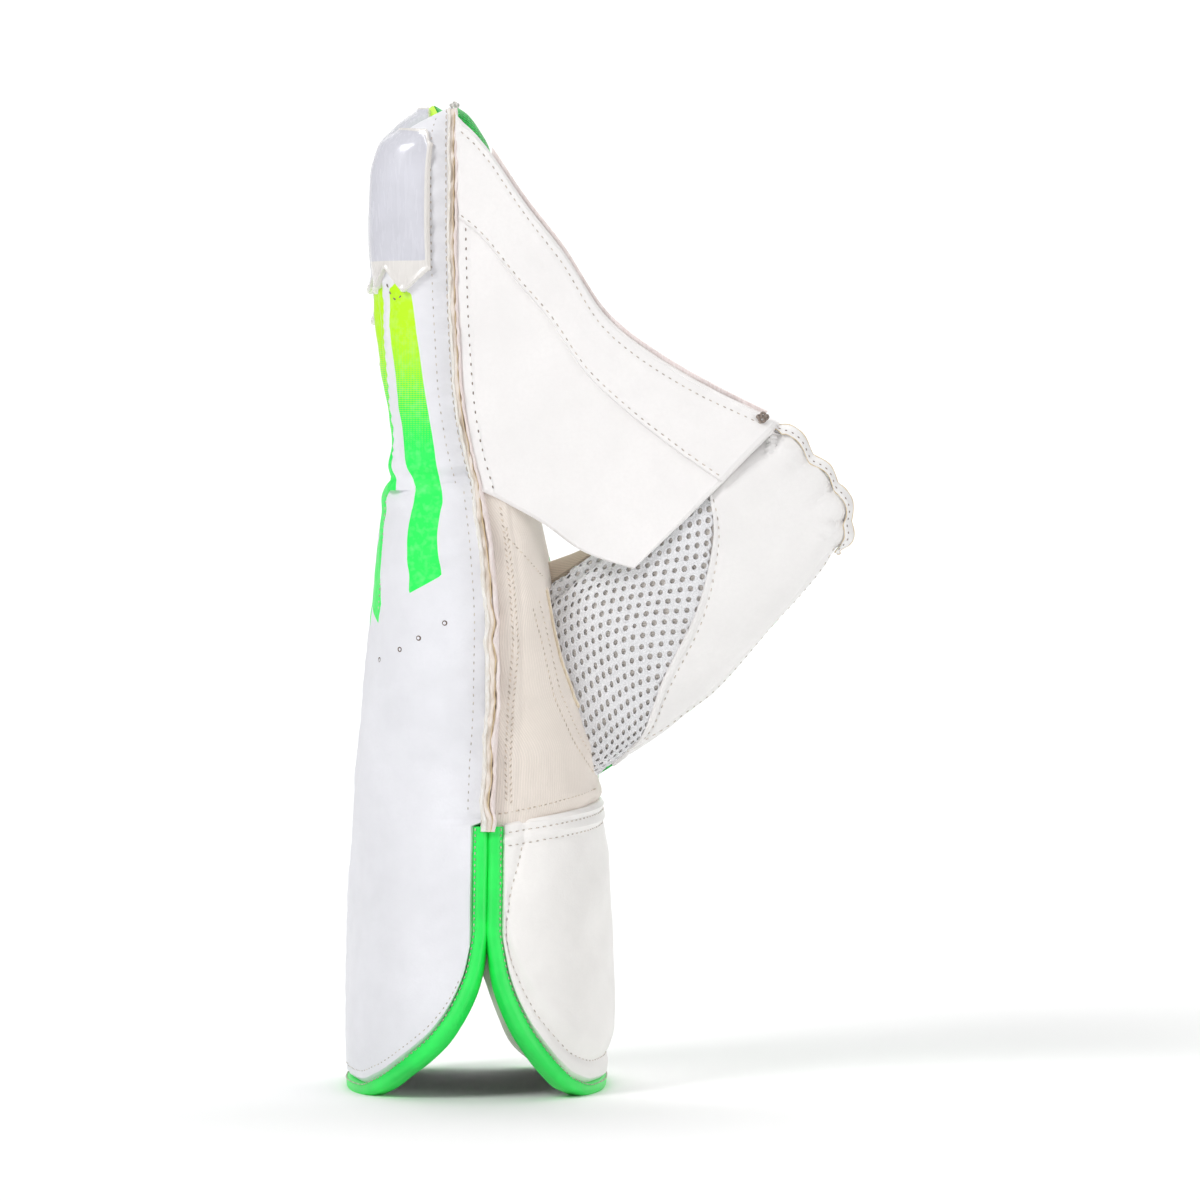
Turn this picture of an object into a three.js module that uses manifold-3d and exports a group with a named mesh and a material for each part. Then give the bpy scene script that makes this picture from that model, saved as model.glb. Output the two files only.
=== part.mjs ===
// Left-hand wicketkeeping glove, standing on its cuff. Millimetres, +Z up.
// +X is the palm side, -X the back of the hand and -Y the thumb side.
import * as THREE from "three";
import { mergeVertices } from "three/addons/utils/BufferGeometryUtils.js";
import Module from "manifold-3d";

const wasm = await Module();
wasm.setup();

// Heights: the cuff, the hand from cuff seam to knuckles, and the longest finger
const CUFF_HEIGHT = 88;
const HAND_LENGTH = 108;
const FINGER_LENGTH = 121;

// Depth from back to palm at the cuff, and width across the knuckles
const GLOVE_DEPTH = 84;
const GLOVE_WIDTH = 106;
const FINGER_GAP = 0.9;

// Thumb: length from the hand to the gathered tip, width, thickness and slant
const THUMB_LENGTH = 103;
const THUMB_WIDTH = 56;
const THUMB_THICKNESS = 28;
const THUMB_ANGLE = 41.2;
const THUMB_SLANT = 30;

// Walls: padded leather, plain leather, pimpled rubber with its backing, cloth and plastic
const BACK_WALL = 4.5;
const CUFF_WALL = 6;
const STALL_WALL = 2.6;
const RUBBER_WALL = 2.6;
const CLOTH_WALL = 1.5;
const MESH_WALL = 2.2;
const LINING_WALL = 1.2;
const CAP_WALL = 1.3;
const WEB_WALL = 2.2;
const BAND_WALL = 1.3;
const BACKING_WALL = 1.5;

// Edges: rubber binding round the cuff flaps, raw seams, gathered band on the thumb
const BINDING_WIDTH = 4.4;
const BINDING_PROUD = 0.7;
const BINDING_ROUND = 1.3;
const FLAP_NOTCH = 1;
const FOOT_FLAT = 0.8;
const SEAM_WIDTH = 2.7;
const SEAM_RISE = 4;
const SEAM_TOP = 0.975;
const GATHER_WIDTH = 4.2;
const GATHER_THICKNESS = 6.4;
const RUFFLES = 5;

// Room between neighbouring pieces
const GAP = 0.3;

// Body of the glove: a row for each section. Heights are shares of the cuff or of the hand,
// back, seam and palm are shares of the depth, half is a share of the width.
const BODY = [
  { part: "cuff", at: 0.0, back: -0.512, seam: 0.03, palm: 0.47, half: 0.585, square: 2.4 },
  { part: "cuff", at: 0.23, back: -0.526, seam: 0.03, palm: 0.494, half: 0.575, square: 2.4 },
  { part: "cuff", at: 0.57, back: -0.516, seam: 0.03, palm: 0.484, half: 0.538, square: 2.4 },
  { part: "cuff", at: 0.8, back: -0.507, seam: 0.032, palm: 0.474, half: 0.503, square: 2.45 },
  { part: "hand", at: 0.0, back: -0.498, seam: 0.034, palm: 0.452, half: 0.477, square: 2.5 },
  { part: "hand", at: 0.16, back: -0.485, seam: 0.04, palm: 0.448, half: 0.465, square: 2.6 },
  { part: "hand", at: 0.34, back: -0.454, seam: 0.051, palm: 0.4, half: 0.473, square: 2.8 },
  { part: "hand", at: 0.57, back: -0.423, seam: 0.051, palm: 0.297, half: 0.491, square: 3.2 },
  { part: "hand", at: 0.8, back: -0.399, seam: 0.03, palm: 0.25, half: 0.503, square: 3.8 },
  { part: "hand", at: 1.0, back: -0.357, seam: -0.006, palm: 0.19, half: 0.5, square: 4.5 },
];

// Finger stall from knuckle to tip: at is a share of the finger's length, back, seam and palm
// are shares of the glove's depth, half is a share of the finger's half width.
const STALL = [
  { at: 0.0, back: -0.352, seam: -0.006, palm: 0.17, half: 1.0, square: 3.0 },
  { at: 0.12, back: -0.331, seam: -0.05, palm: 0.131, half: 1.0, square: 2.9 },
  { at: 0.25, back: -0.348, seam: -0.076, palm: 0.107, half: 1.0, square: 2.8 },
  { at: 0.4, back: -0.362, seam: -0.088, palm: 0.095, half: 1.0, square: 2.7 },
  { at: 0.52, back: -0.376, seam: -0.095, palm: 0.083, half: 0.98, square: 2.6 },
  { at: 0.68, back: -0.392, seam: -0.098, palm: 0.071, half: 0.95, square: 2.5 },
  { at: 0.8, back: -0.388, seam: -0.098, palm: 0.06, half: 0.93, square: 2.5 },
  { at: 0.88, back: -0.36, seam: -0.098, palm: 0.034, half: 0.87, square: 2.4 },
  { at: 0.93, back: -0.278, seam: -0.098, palm: -0.002, half: 0.73, square: 2.3 },
  { at: 0.975, back: -0.17, seam: -0.097, palm: -0.05, half: 0.46, square: 2.2 },
  { at: 1.0, back: -0.096, seam: -0.096, palm: -0.096, half: 0, square: 2 },
];

// Fingers: reach is a share of the longest, wide a share of the width across the knuckles,
// splay a share of that width, arch and tip shares of the depth that bow the finger and lean
// its tip to the back.
const FINGERS = [
  { name: "index", reach: 0.99, wide: 0.255, splay: -0.03, arch: 0.0, tip: 0.0 },
  { name: "middle", reach: 1.0, wide: 0.258, splay: -0.008, arch: -0.016, tip: 0.085 },
  { name: "ring", reach: 0.84, wide: 0.25, splay: 0.014, arch: -0.012, tip: 0.075 },
  { name: "little", reach: 0.615, wide: 0.237, splay: 0.04, arch: 0.012, tip: 0.06 },
];
const TIP_LEAN_FROM = 0.84;

// Tip guard: how far up the finger its lower edge lies at each share of a quarter turn.
const CAP_TURN = 0.8;
const CAP_STATIONS = [0.68, 0.8, 0.88, 0.92];
const CAP_EDGE = [
  { turn: 0.0, at: 0.5 },
  { turn: 0.25, at: 0.515 },
  { turn: 0.42, at: 0.565 },
  { turn: 0.58, at: 0.5 },
  { turn: 0.8, at: 0.56 },
];

// Lower edge of each cuff flap: lift is a share of the cuff's height at each share of the
// quarter turn from the middle of the flap. near is the thumb side.
const BACK_FLAP = [
  { turn: 0.0, near: 0.0, far: 0.0 },
  { turn: 0.36, near: 0.0, far: 0.0 },
  { turn: 0.5, near: 0.034, far: 0.034 },
  { turn: 0.64, near: 0.104, far: 0.104 },
  { turn: 0.78, near: 0.198, far: 0.198 },
  { turn: 0.86, near: 0.28, far: 0.28 },
  { turn: 0.92, near: 0.368, far: 0.368 },
  { turn: 0.97, near: 0.475, far: 0.475 },
  { turn: 1.0, near: 0.61, far: 0.61 },
];
const PALM_FLAP = [
  { turn: 0.0, near: 0.0, far: 0.0 },
  { turn: 0.36, near: 0.0, far: 0.0 },
  { turn: 0.53, near: 0.034, far: 0.008 },
  { turn: 0.65, near: 0.096, far: 0.04 },
  { turn: 0.79, near: 0.21, far: 0.13 },
  { turn: 0.885, near: 0.325, far: 0.23 },
  { turn: 0.955, near: 0.45, far: 0.35 },
  { turn: 1.0, near: 0.61, far: 0.56 },
];
const PALM_SEAM_LIFT = 0.06;

// Thumb sections: at is a share of its length, rise and fall are the edges as shares of its
// width, front and rear shares of its thickness, spread moves the far side of the crotch out.
const THUMB = [
  { at: -0.3, rise: 0.5, fall: 0.46, front: 0.42, rear: 0.46, spread: 0.5 },
  { at: -0.1, rise: 0.51, fall: 0.51, front: 0.47, rear: 0.5, spread: 0.5 },
  { at: 0.09, rise: 0.51, fall: 0.55, front: 0.5, rear: 0.53, spread: 0.42 },
  { at: 0.28, rise: 0.49, fall: 0.57, front: 0.5, rear: 0.54, spread: 0.2 },
  { at: 0.5, rise: 0.47, fall: 0.52, front: 0.49, rear: 0.53, spread: 0.05 },
  { at: 0.7, rise: 0.46, fall: 0.46, front: 0.45, rear: 0.5, spread: 0.0 },
  { at: 0.86, rise: 0.445, fall: 0.42, front: 0.36, rear: 0.4, spread: 0.0 },
  { at: 0.95, rise: 0.4, fall: 0.34, front: 0.22, rear: 0.24, spread: 0.0 },
  { at: 1.0, rise: 0.3, fall: 0.16, front: 0.1, rear: 0.1, spread: 0.0 },
];
const THUMB_SQUARE = 2.4;

// Where the thumb's axis leaves the hand: depth and hand shares, and its share of half width
const THUMB_ROOT = { depth: 0.374, rise: 0.415, side: -0.36 };

// Edge between the airy mesh panel and the thumb's leather, as shares of a quarter turn
const MESH_EDGE = [
  { at: -0.1, turn: 0.93 },
  { at: 0.0, turn: 0.72 },
  { at: 0.19, turn: 0.37 },
  { at: 0.44, turn: 0.14 },
  { at: 0.6, turn: -0.14 },
  { at: 0.68, turn: -0.42 },
  { at: 0.735, turn: -0.93 },
];

// Gusset: how far round from the back its edge lies, in quarter turns
const GUSSET_TURN = 1.66;

// Web between index finger and thumb. The left side follows the index seam. Along the lower and
// upper edges, run is a share of the reach to the thumb and rise a share of the finger length
// above the knuckles.
const WEB_REACH = 99;
const WEB_LOW = [
  { run: 0.0, rise: -0.02 },
  { run: 0.188, rise: -0.107 },
  { run: 0.307, rise: -0.178 },
  { run: 0.391, rise: -0.207 },
  { run: 0.475, rise: -0.228 },
];
const WEB_HIGH = [
  { run: 0.0, rise: 0.965 },
  { run: 0.15, rise: 0.785 },
  { run: 0.32, rise: 0.615 },
  { run: 0.463, rise: 0.436 },
  { run: 0.6, rise: 0.342 },
  { run: 0.78, rise: 0.252 },
  { run: 1.02, rise: 0.156 },
];
const BAND_EDGE = 0.73;
const WEB_SLACK = 3;

const quarter = Math.PI / 2;
const depth = (share) => share * GLOVE_DEPTH;
const knuckles = CUFF_HEIGHT + HAND_LENGTH;

// Smooth curve through the rows of a table
function smooth(rows, across, key, x) {
  const last = rows.length - 1;
  const lowest = rows[0][across];
  const highest = rows[last][across];
  const t = Math.min(Math.max(x, lowest), highest);
  let i = 0;
  while (i < last - 1 && rows[i + 1][across] < t) i++;
  const slope = (a, b) => (rows[b][key] - rows[a][key]) / (rows[b][across] - rows[a][across]);
  const tangent = (k) => {
    if (k === 0) return slope(0, 1);
    if (k === last) return slope(last - 1, last);
    const before = slope(k - 1, k);
    const after = slope(k, k + 1);
    return before * after <= 0 ? 0 : (2 * before * after) / (before + after);
  };
  const span = rows[i + 1][across] - rows[i][across];
  const f = (t - rows[i][across]) / span;
  const a = rows[i][key];
  const b = rows[i + 1][key];
  const h = f * f * (3 - 2 * f);
  const near = f * (1 - f) * (1 - f) * span * tangent(i);
  const far = f * f * (1 - f) * span * tangent(i + 1);
  return a + (b - a) * h + near - far;
}

// Rounded section: turn 0 is the back, 1 the thumb-side seam, 2 the palm, 3 the far seam
function around(turn, row) {
  const c = Math.cos(turn * quarter);
  const s = Math.sin(turn * quarter);
  const n = row.square;
  const r = Math.pow(Math.pow(Math.abs(c), n) + Math.pow(Math.abs(s), n), -1 / n);
  const reach = c > 0 ? row.back - row.seam : row.palm - row.seam;
  return [row.seam + r * Math.abs(c) * reach, -r * s * row.half];
}

// Surface of the hand and cuff
const bodyRows = BODY.map((row) => ({
  z: row.part === "cuff" ? row.at * CUFF_HEIGHT : CUFF_HEIGHT + row.at * HAND_LENGTH,
  back: depth(row.back),
  seam: depth(row.seam),
  palm: depth(row.palm),
  half: row.half * GLOVE_WIDTH,
  square: row.square,
}));

function bodyRow(z) {
  const row = {};
  for (const key of ["back", "seam", "palm", "half", "square"]) {
    row[key] = smooth(bodyRows, "z", key, z);
  }
  return row;
}

function body(turn, z) {
  const [x, y] = around(turn, bodyRow(z));
  return new THREE.Vector3(x, y, z);
}

// Surface of a finger stall
const topHalf = bodyRow(knuckles).half;
const clearWidth = 2 * topHalf - (FINGERS.length - 1) * FINGER_GAP;
let filled = -topHalf;
const fingers = FINGERS.map((finger) => {
  const width = (finger.wide * clearWidth) / FINGERS.reduce((sum, f) => sum + f.wide, 0);
  const centre = filled + width / 2;
  filled += width + FINGER_GAP;
  return { ...finger, width, centre, length: finger.reach * FINGER_LENGTH };
});

function stall(finger, turn, at) {
  const row = {};
  const bow = depth(finger.arch) * Math.sin(Math.PI * Math.min(Math.max(at, 0), 1));
  const near = Math.min(Math.max((at - TIP_LEAN_FROM) / (1 - TIP_LEAN_FROM), 0), 1);
  const lean = depth(finger.tip) * near * near;
  for (const key of ["back", "seam", "palm"]) {
    row[key] = depth(smooth(STALL, "at", key, at)) + bow - lean;
  }
  row.half = (smooth(STALL, "at", "half", at) * finger.width) / 2;
  row.square = smooth(STALL, "at", "square", at);
  const [x, y] = around(turn, row);
  const shift = finger.centre + finger.splay * GLOVE_WIDTH * at * finger.reach;
  return new THREE.Vector3(x, y + shift, knuckles + GAP + at * finger.length);
}

// Surface of the thumb stall: turn 0 is its outer face, 1 its lower edge, 3 its crotch edge
const slope = (THUMB_ANGLE * Math.PI) / 180;
const along = new THREE.Vector3(Math.cos(slope), 0, Math.sin(slope));
const across = new THREE.Vector3(-Math.sin(slope), 0, Math.cos(slope));
const rootZ = CUFF_HEIGHT + THUMB_ROOT.rise * HAND_LENGTH;
const thumbRoot = new THREE.Vector3(
  depth(THUMB_ROOT.depth),
  THUMB_ROOT.side * bodyRow(rootZ).half,
  rootZ,
);

function thumbRow(at) {
  return {
    rise: smooth(THUMB, "at", "rise", at) * THUMB_WIDTH,
    fall: smooth(THUMB, "at", "fall", at) * THUMB_WIDTH,
    front: smooth(THUMB, "at", "front", at) * THUMB_THICKNESS,
    rear: smooth(THUMB, "at", "rear", at) * THUMB_THICKNESS,
    spread: smooth(THUMB, "at", "spread", at) * THUMB_WIDTH,
    y: thumbRoot.y - at * THUMB_SLANT,
  };
}

function thumb(turn, at) {
  const row = thumbRow(at);
  const c = Math.cos(turn * quarter);
  const s = Math.sin(turn * quarter);
  const n = THUMB_SQUARE;
  const r = Math.pow(Math.pow(Math.abs(c), n) + Math.pow(Math.abs(s), n), -1 / n);
  const wide = s > 0 ? -r * s * row.fall : -r * s * row.rise;
  const y = c > 0 ? -r * c * row.front : -r * c * row.rear;
  const lean = s < 0 && c < 0 ? row.spread * r * s * r * c : 0;
  return new THREE.Vector3(thumbRoot.x, 0, thumbRoot.z)
    .addScaledVector(along, at * THUMB_LENGTH)
    .addScaledVector(across, wide + lean)
    .setY(row.y + y);
}

// Y of the thumb's outer face at a point of the side view
function thumbFaceY(x, z) {
  const dx = x - thumbRoot.x;
  const dz = z - thumbRoot.z;
  const at = (dx * along.x + dz * along.z) / THUMB_LENGTH;
  const wide = dx * across.x + dz * across.z;
  const row = thumbRow(Math.min(Math.max(at, -0.1), 1));
  const edge = wide > 0 ? row.rise : row.fall;
  const share = Math.min(Math.abs(wide) / edge, 1);
  const n = THUMB_SQUARE;
  return row.y - row.front * Math.pow(1 - Math.pow(share, n), 1 / n);
}

// Direction that a surface faces, from two small steps on it
function facing(surface, u, v, du, dv) {
  const a = surface(u + du, v).sub(surface(u - du, v));
  const b = surface(u, v + dv).sub(surface(u, v - dv));
  return a.cross(b).normalize();
}

// Closed wall over a piece of a surface: place gives its u and v at shares s and t of the piece,
// lift raises its outer face, and pole closes it in one point at the end of v.
function wall(surface, place, columns, rows, thickness, options = {}) {
  const lift = options.lift ?? 0;
  const step = options.step ?? 1e-3;
  const positions = [];
  const index = [];
  const rowCount = options.pole ? rows : rows + 1;
  const perRow = columns + 1;
  const addPoint = (u, v, normal, offset) => {
    const p = surface(u, v).addScaledVector(normal, offset);
    if (options.shift) p.add(options.shift);
    positions.push(p.x, p.y, p.z);
  };
  const layers = [lift, lift - thickness].map((offset) => {
    const first = positions.length / 3;
    for (let i = 0; i < rowCount; i++) {
      for (let j = 0; j <= columns; j++) {
        const [u, v] = place(j / columns, i / rows);
        const thin = options.shape ? options.shape(j / columns, i / rows) : 1;
        const normal = facing(surface, u, v, step, step * (options.vScale ?? 1));
        addPoint(u, v, normal, offset === lift ? lift : lift - thickness * thin);
      }
    }
    if (options.pole) {
      const [u, v] = place(0.5, 1);
      addPoint(u, v, options.pole, offset);
    }
    return (i, j) => first + (options.pole && i === rows ? rows * perRow : i * perRow + j);
  });
  const face = (a, b, c) => {
    if (a !== b && b !== c && a !== c) index.push(a, b, c);
  };
  const quad = (a, b, c, d) => {
    face(a, b, c);
    face(a, c, d);
  };
  const [outer, inner] = layers;
  for (let i = 0; i < rows; i++) {
    for (let j = 0; j < columns; j++) {
      quad(outer(i, j), outer(i, j + 1), outer(i + 1, j + 1), outer(i + 1, j));
      quad(inner(i, j), inner(i + 1, j), inner(i + 1, j + 1), inner(i, j + 1));
    }
    quad(outer(i, 0), outer(i + 1, 0), inner(i + 1, 0), inner(i, 0));
    const e = columns;
    quad(outer(i + 1, e), outer(i, e), inner(i, e), inner(i + 1, e));
  }
  for (let j = 0; j < columns; j++) {
    quad(outer(0, j + 1), outer(0, j), inner(0, j), inner(0, j + 1));
    if (!options.pole) {
      quad(outer(rows, j), outer(rows, j + 1), inner(rows, j + 1), inner(rows, j));
    }
  }
  const geometry = new THREE.BufferGeometry();
  geometry.setAttribute("position", new THREE.Float32BufferAttribute(positions, 3));
  geometry.setIndex(index);
  return geometry;
}

// Turns the faces of a closed form outwards
function faceOut(geometry) {
  const p = geometry.getAttribute("position");
  const index = Array.from(geometry.getIndex().array);
  const at = (i) => new THREE.Vector3().fromBufferAttribute(p, i);
  let volume = 0;
  for (let i = 0; i < index.length; i += 3) {
    volume += at(index[i]).dot(at(index[i + 1]).cross(at(index[i + 2])));
  }
  if (volume < 0) geometry.setIndex(index.reverse());
  return geometry;
}

// Solid bar whose closed section is carried along stations
function bar(stations) {
  const sides = stations[0].length;
  const positions = stations.flat().flatMap((p) => [p.x, p.y, p.z]);
  const index = [];
  for (let i = 0; i < stations.length - 1; i++) {
    for (let j = 0; j < sides; j++) {
      const k = (j + 1) % sides;
      const a = i * sides + j;
      const b = i * sides + k;
      index.push(a, b, b + sides, a, b + sides, a + sides);
    }
  }
  const end = (stations.length - 1) * sides;
  for (let j = 1; j < sides - 1; j++) {
    index.push(0, j + 1, j, end, end + j, end + j + 1);
  }
  const geometry = new THREE.BufferGeometry();
  geometry.setAttribute("position", new THREE.Float32BufferAttribute(positions, 3));
  geometry.setIndex(index);
  return faceOut(geometry);
}

// Solid to the inside of a surface, for cuts
function filledForm(surface, columns, low, high, rows, offset, step) {
  const stations = [];
  for (let i = 0; i <= rows; i++) {
    const v = low + ((high - low) * i) / rows;
    const ring = [];
    for (let j = 0; j < columns; j++) {
      const u = (4 * j) / columns;
      ring.push(surface(u, v).addScaledVector(facing(surface, u, v, 1e-3, step), offset));
    }
    stations.push(ring);
  }
  return bar(stations);
}

function toSolid(geometry) {
  const plain = new THREE.BufferGeometry();
  plain.setAttribute("position", geometry.getAttribute("position"));
  plain.setIndex(geometry.getIndex());
  const merged = mergeVertices(plain, 1e-4);
  return new wasm.Manifold(
    new wasm.Mesh({
      numProp: 3,
      vertProperties: new Float32Array(merged.getAttribute("position").array),
      triVerts: new Uint32Array(merged.getIndex().array),
    }),
  );
}

// Largest body of a cut, so that no loose sliver is left
function toGeometry(solid) {
  const largest = solid.decompose().sort((a, b) => b.volume() - a.volume())[0];
  const mesh = largest.getMesh();
  const geometry = new THREE.BufferGeometry();
  geometry.setAttribute("position", new THREE.Float32BufferAttribute(mesh.vertProperties, 3));
  geometry.setIndex(Array.from(mesh.triVerts));
  return geometry;
}

// Colours
const WHITE = 0xeeeef3;
const WARM_WHITE = 0xf6f4f0;
const OFF_WHITE = 0xeae9e5;
const BEIGE = 0xe5dbd1;
const GREEN = 0x40ff6e;
const PINKISH = 0xd8c4b8;
const CLEAR = 0xe4e4ee;

const glove = new THREE.Group();

function add(name, geometry, color, roughness, extra = {}) {
  const material = new THREE.MeshStandardMaterial({ color, roughness, metalness: 0, ...extra });
  const mesh = new THREE.Mesh(geometry, material);
  mesh.name = name;
  glove.add(mesh);
  return mesh;
}

const toBack = new THREE.Vector3(-GAP / 2, 0, 0);
const toPalm = new THREE.Vector3(GAP / 2, 0, 0);
const up = new THREE.Vector3(0, 0, 1);
const mix = (a, b, f) => a + (b - a) * f;

// Height of the seam between cuff and hand
const seamHeight = (turn) =>
  CUFF_HEIGHT * (1 + PALM_SEAM_LIFT * Math.max(0, -Math.cos(turn * quarter)));

// Millimetres along a flap for one quarter turn, just inside a place on it
function spread(turn, middle, z) {
  const t = mix(turn, middle, 0.03);
  return body(t + 0.01, z).distanceTo(body(t - 0.01, z)) / 0.02;
}

// Cuff flap: its edge from the near top corner round to the far one, as turns from the middle
// of the flap and heights, moved into the flap by a distance. side is +1 for the back flap.
function flapEdge(table, middle, side, inset) {
  const points = [];
  const steps = 22;
  const sideSteps = 4;
  const top = CUFF_HEIGHT - FLAP_NOTCH - GAP;
  for (let i = -steps; i <= steps; i++) {
    const turn = Math.pow(Math.abs(i) / steps, 0.8);
    const lift = smooth(table, "turn", i > 0 ? "far" : "near", turn) * CUFF_HEIGHT;
    points.push({ turn: Math.sign(i) * turn, z: lift - FOOT_FLAT });
  }
  const nearZ = points[0].z;
  const farZ = points[points.length - 1].z;
  for (let i = 1; i <= sideSteps; i++) {
    points.unshift({ turn: -1, z: mix(nearZ, top, i / sideSteps) });
    points.push({ turn: 1, z: mix(farZ, top, i / sideSteps) });
  }
  const count = points.length;
  const edge = points.map((p, i) => {
    const a = points[Math.max(i - 1, 0)];
    const b = points[Math.min(i + 1, count - 1)];
    const scale = spread(middle - side * p.turn, middle, p.z);
    const run = (b.turn - a.turn) * scale;
    const rise = b.z - a.z;
    const size = Math.hypot(run, rise);
    const end = i === 0 || i === count - 1;
    return {
      turn: p.turn - (inset * rise) / size / scale,
      z: p.z + (end ? 0 : (inset * run) / size),
    };
  });
  return { edge, lower: edge.slice(sideSteps, count - sideSteps) };
}

// Place on a flap inside its binding, for shares from edge to edge and from rim to top
function flapPlace(table, middle, side, topOf) {
  const inset = BINDING_WIDTH + 2 * GAP;
  const { lower } = flapEdge(table, middle, side, inset);
  const first = lower[0];
  const last = lower[lower.length - 1];
  const lowAt = (turn) => {
    if (turn <= first.turn) return first.z;
    if (turn >= last.turn) return last.z;
    const k = lower.findIndex((p) => p.turn >= turn);
    const a = lower[k - 1];
    const b = lower[k];
    return mix(a.z, b.z, (turn - a.turn) / (b.turn - a.turn));
  };
  return (s, t) => {
    const share = (1 - 2 * s) * side;
    const part = Math.sign(share) * Math.pow(Math.abs(share), 0.85);
    const edgeTurn = share < 0 ? -first.turn : last.turn;
    const low = lowAt(part * edgeTurn);
    const z = mix(low, topOf(middle - side * part), t);
    const seamTurn = middle - side * Math.sign(share || 1);
    const wide = t > 0 ? 1 - inset / spread(seamTurn, middle, z) : edgeTurn;
    return [middle - side * part * wide, z];
  };
}

// Binding: a rounded bar round the edge of a flap, flat where it rests
function binding(table, middle, side, thickness, shift) {
  const { edge } = flapEdge(table, middle, side, BINDING_WIDTH / 2);
  const on = (q) => body(middle - side * q.turn, q.z);
  const stations = edge.map((p, i) => {
    const a = edge[Math.max(i - 1, 0)];
    const b = edge[Math.min(i + 1, edge.length - 1)];
    const normal = facing(body, middle - side * p.turn, p.z, 1e-3, 0.1);
    const forward = on(b).sub(on(a)).normalize();
    const outwards = new THREE.Vector3().crossVectors(normal, forward).normalize();
    outwards.multiplyScalar(side);
    const w = BINDING_WIDTH / 2;
    const top = BINDING_PROUD;
    const bottom = -thickness - BINDING_PROUD;
    const round = BINDING_ROUND;
    const corners = [
      [-w, top],
      [w - round, top],
      [w, top - round],
      [w, bottom + round],
      [w - round, bottom],
      [-w, bottom],
    ];
    return corners.map(([o, h]) => {
      const corner = on(p).addScaledVector(outwards, o).addScaledVector(normal, h).add(shift);
      return corner.setZ(Math.max(corner.z, 0));
    });
  });
  return bar(stations);
}

// Back of the hand with its cuff flap: one padded leather panel
const flapRows = 6;
const handRows = 7;
const backFlap = flapPlace(BACK_FLAP, 0, 1, () => CUFF_HEIGHT - FLAP_NOTCH);
const backPlace = (s, t) => {
  const step = t * (flapRows + 1 + handRows);
  if (step <= flapRows + 1e-6) return backFlap(s, Math.min(step / flapRows, 1));
  const full = 2 * s - 1;
  const turn = Math.sign(full) * Math.pow(Math.abs(full), 0.85);
  return [turn, mix(CUFF_HEIGHT, knuckles, Math.max(0, step - flapRows - 1) / handRows)];
};
const thickest = Math.max(CUFF_WALL, BACK_WALL);
add(
  "hand_back",
  wall(body, backPlace, 20, flapRows + 1 + handRows, thickest, {
    vScale: 100,
    shift: toBack,
    shape: (s, t) => mix(CUFF_WALL, BACK_WALL, Math.min(1, t * 1.6)) / thickest,
  }),
  WHITE,
  0.55,
);

// Palm-side cuff flap and the ribbed cloth that lines it
const palmFlap = flapPlace(PALM_FLAP, 2, -1, (turn) => seamHeight(turn) - GAP);
const palmOptions = { vScale: 100, shift: toPalm };
add(
  "cuff_palm_flap",
  wall(body, palmFlap, 18, flapRows, CUFF_WALL, palmOptions),
  OFF_WHITE,
  0.6,
);
add(
  "cuff_lining",
  wall(body, palmFlap, 18, flapRows, LINING_WALL, { ...palmOptions, lift: -CUFF_WALL - GAP }),
  BEIGE,
  0.95,
);
add("back_flap_binding", binding(BACK_FLAP, 0, 1, CUFF_WALL, toBack), GREEN, 0.5);
add("palm_flap_binding", binding(PALM_FLAP, 2, -1, CUFF_WALL, toPalm), GREEN, 0.5);

// Gusset and palm facing, opened where the thumb goes in
const thumbRoom = toSolid(
  filledForm(thumb, 20, -0.3, 0.9, 8, -RUBBER_WALL - GAP, 1e-3),
);
const handForm = toSolid(filledForm(body, 48, CUFF_HEIGHT * 0.9, knuckles, 12, 2 * GAP, 0.1));
const share = (a, b) => (s) => mix(a, b, s);

function handPiece(from, to, columns, thickness, shift) {
  const turn = share(from, to);
  const place = (s, t) => [turn(s), mix(seamHeight(turn(s)) + GAP, knuckles, t)];
  return wall(body, place, columns, handRows, thickness, { vScale: 100, shift });
}

const edgeGap = GAP / (bodyRow(rootZ).half * quarter);
add(
  "gusset",
  toGeometry(
    toSolid(handPiece(1, GUSSET_TURN - edgeGap, 8, CLOTH_WALL, toPalm)).subtract(thumbRoom),
  ),
  BEIGE,
  0.95,
);
add(
  "palm_facing",
  toGeometry(
    toSolid(handPiece(GUSSET_TURN + edgeGap, 3, 12, RUBBER_WALL, toPalm)).subtract(thumbRoom),
  ),
  GREEN,
  0.75,
);

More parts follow.
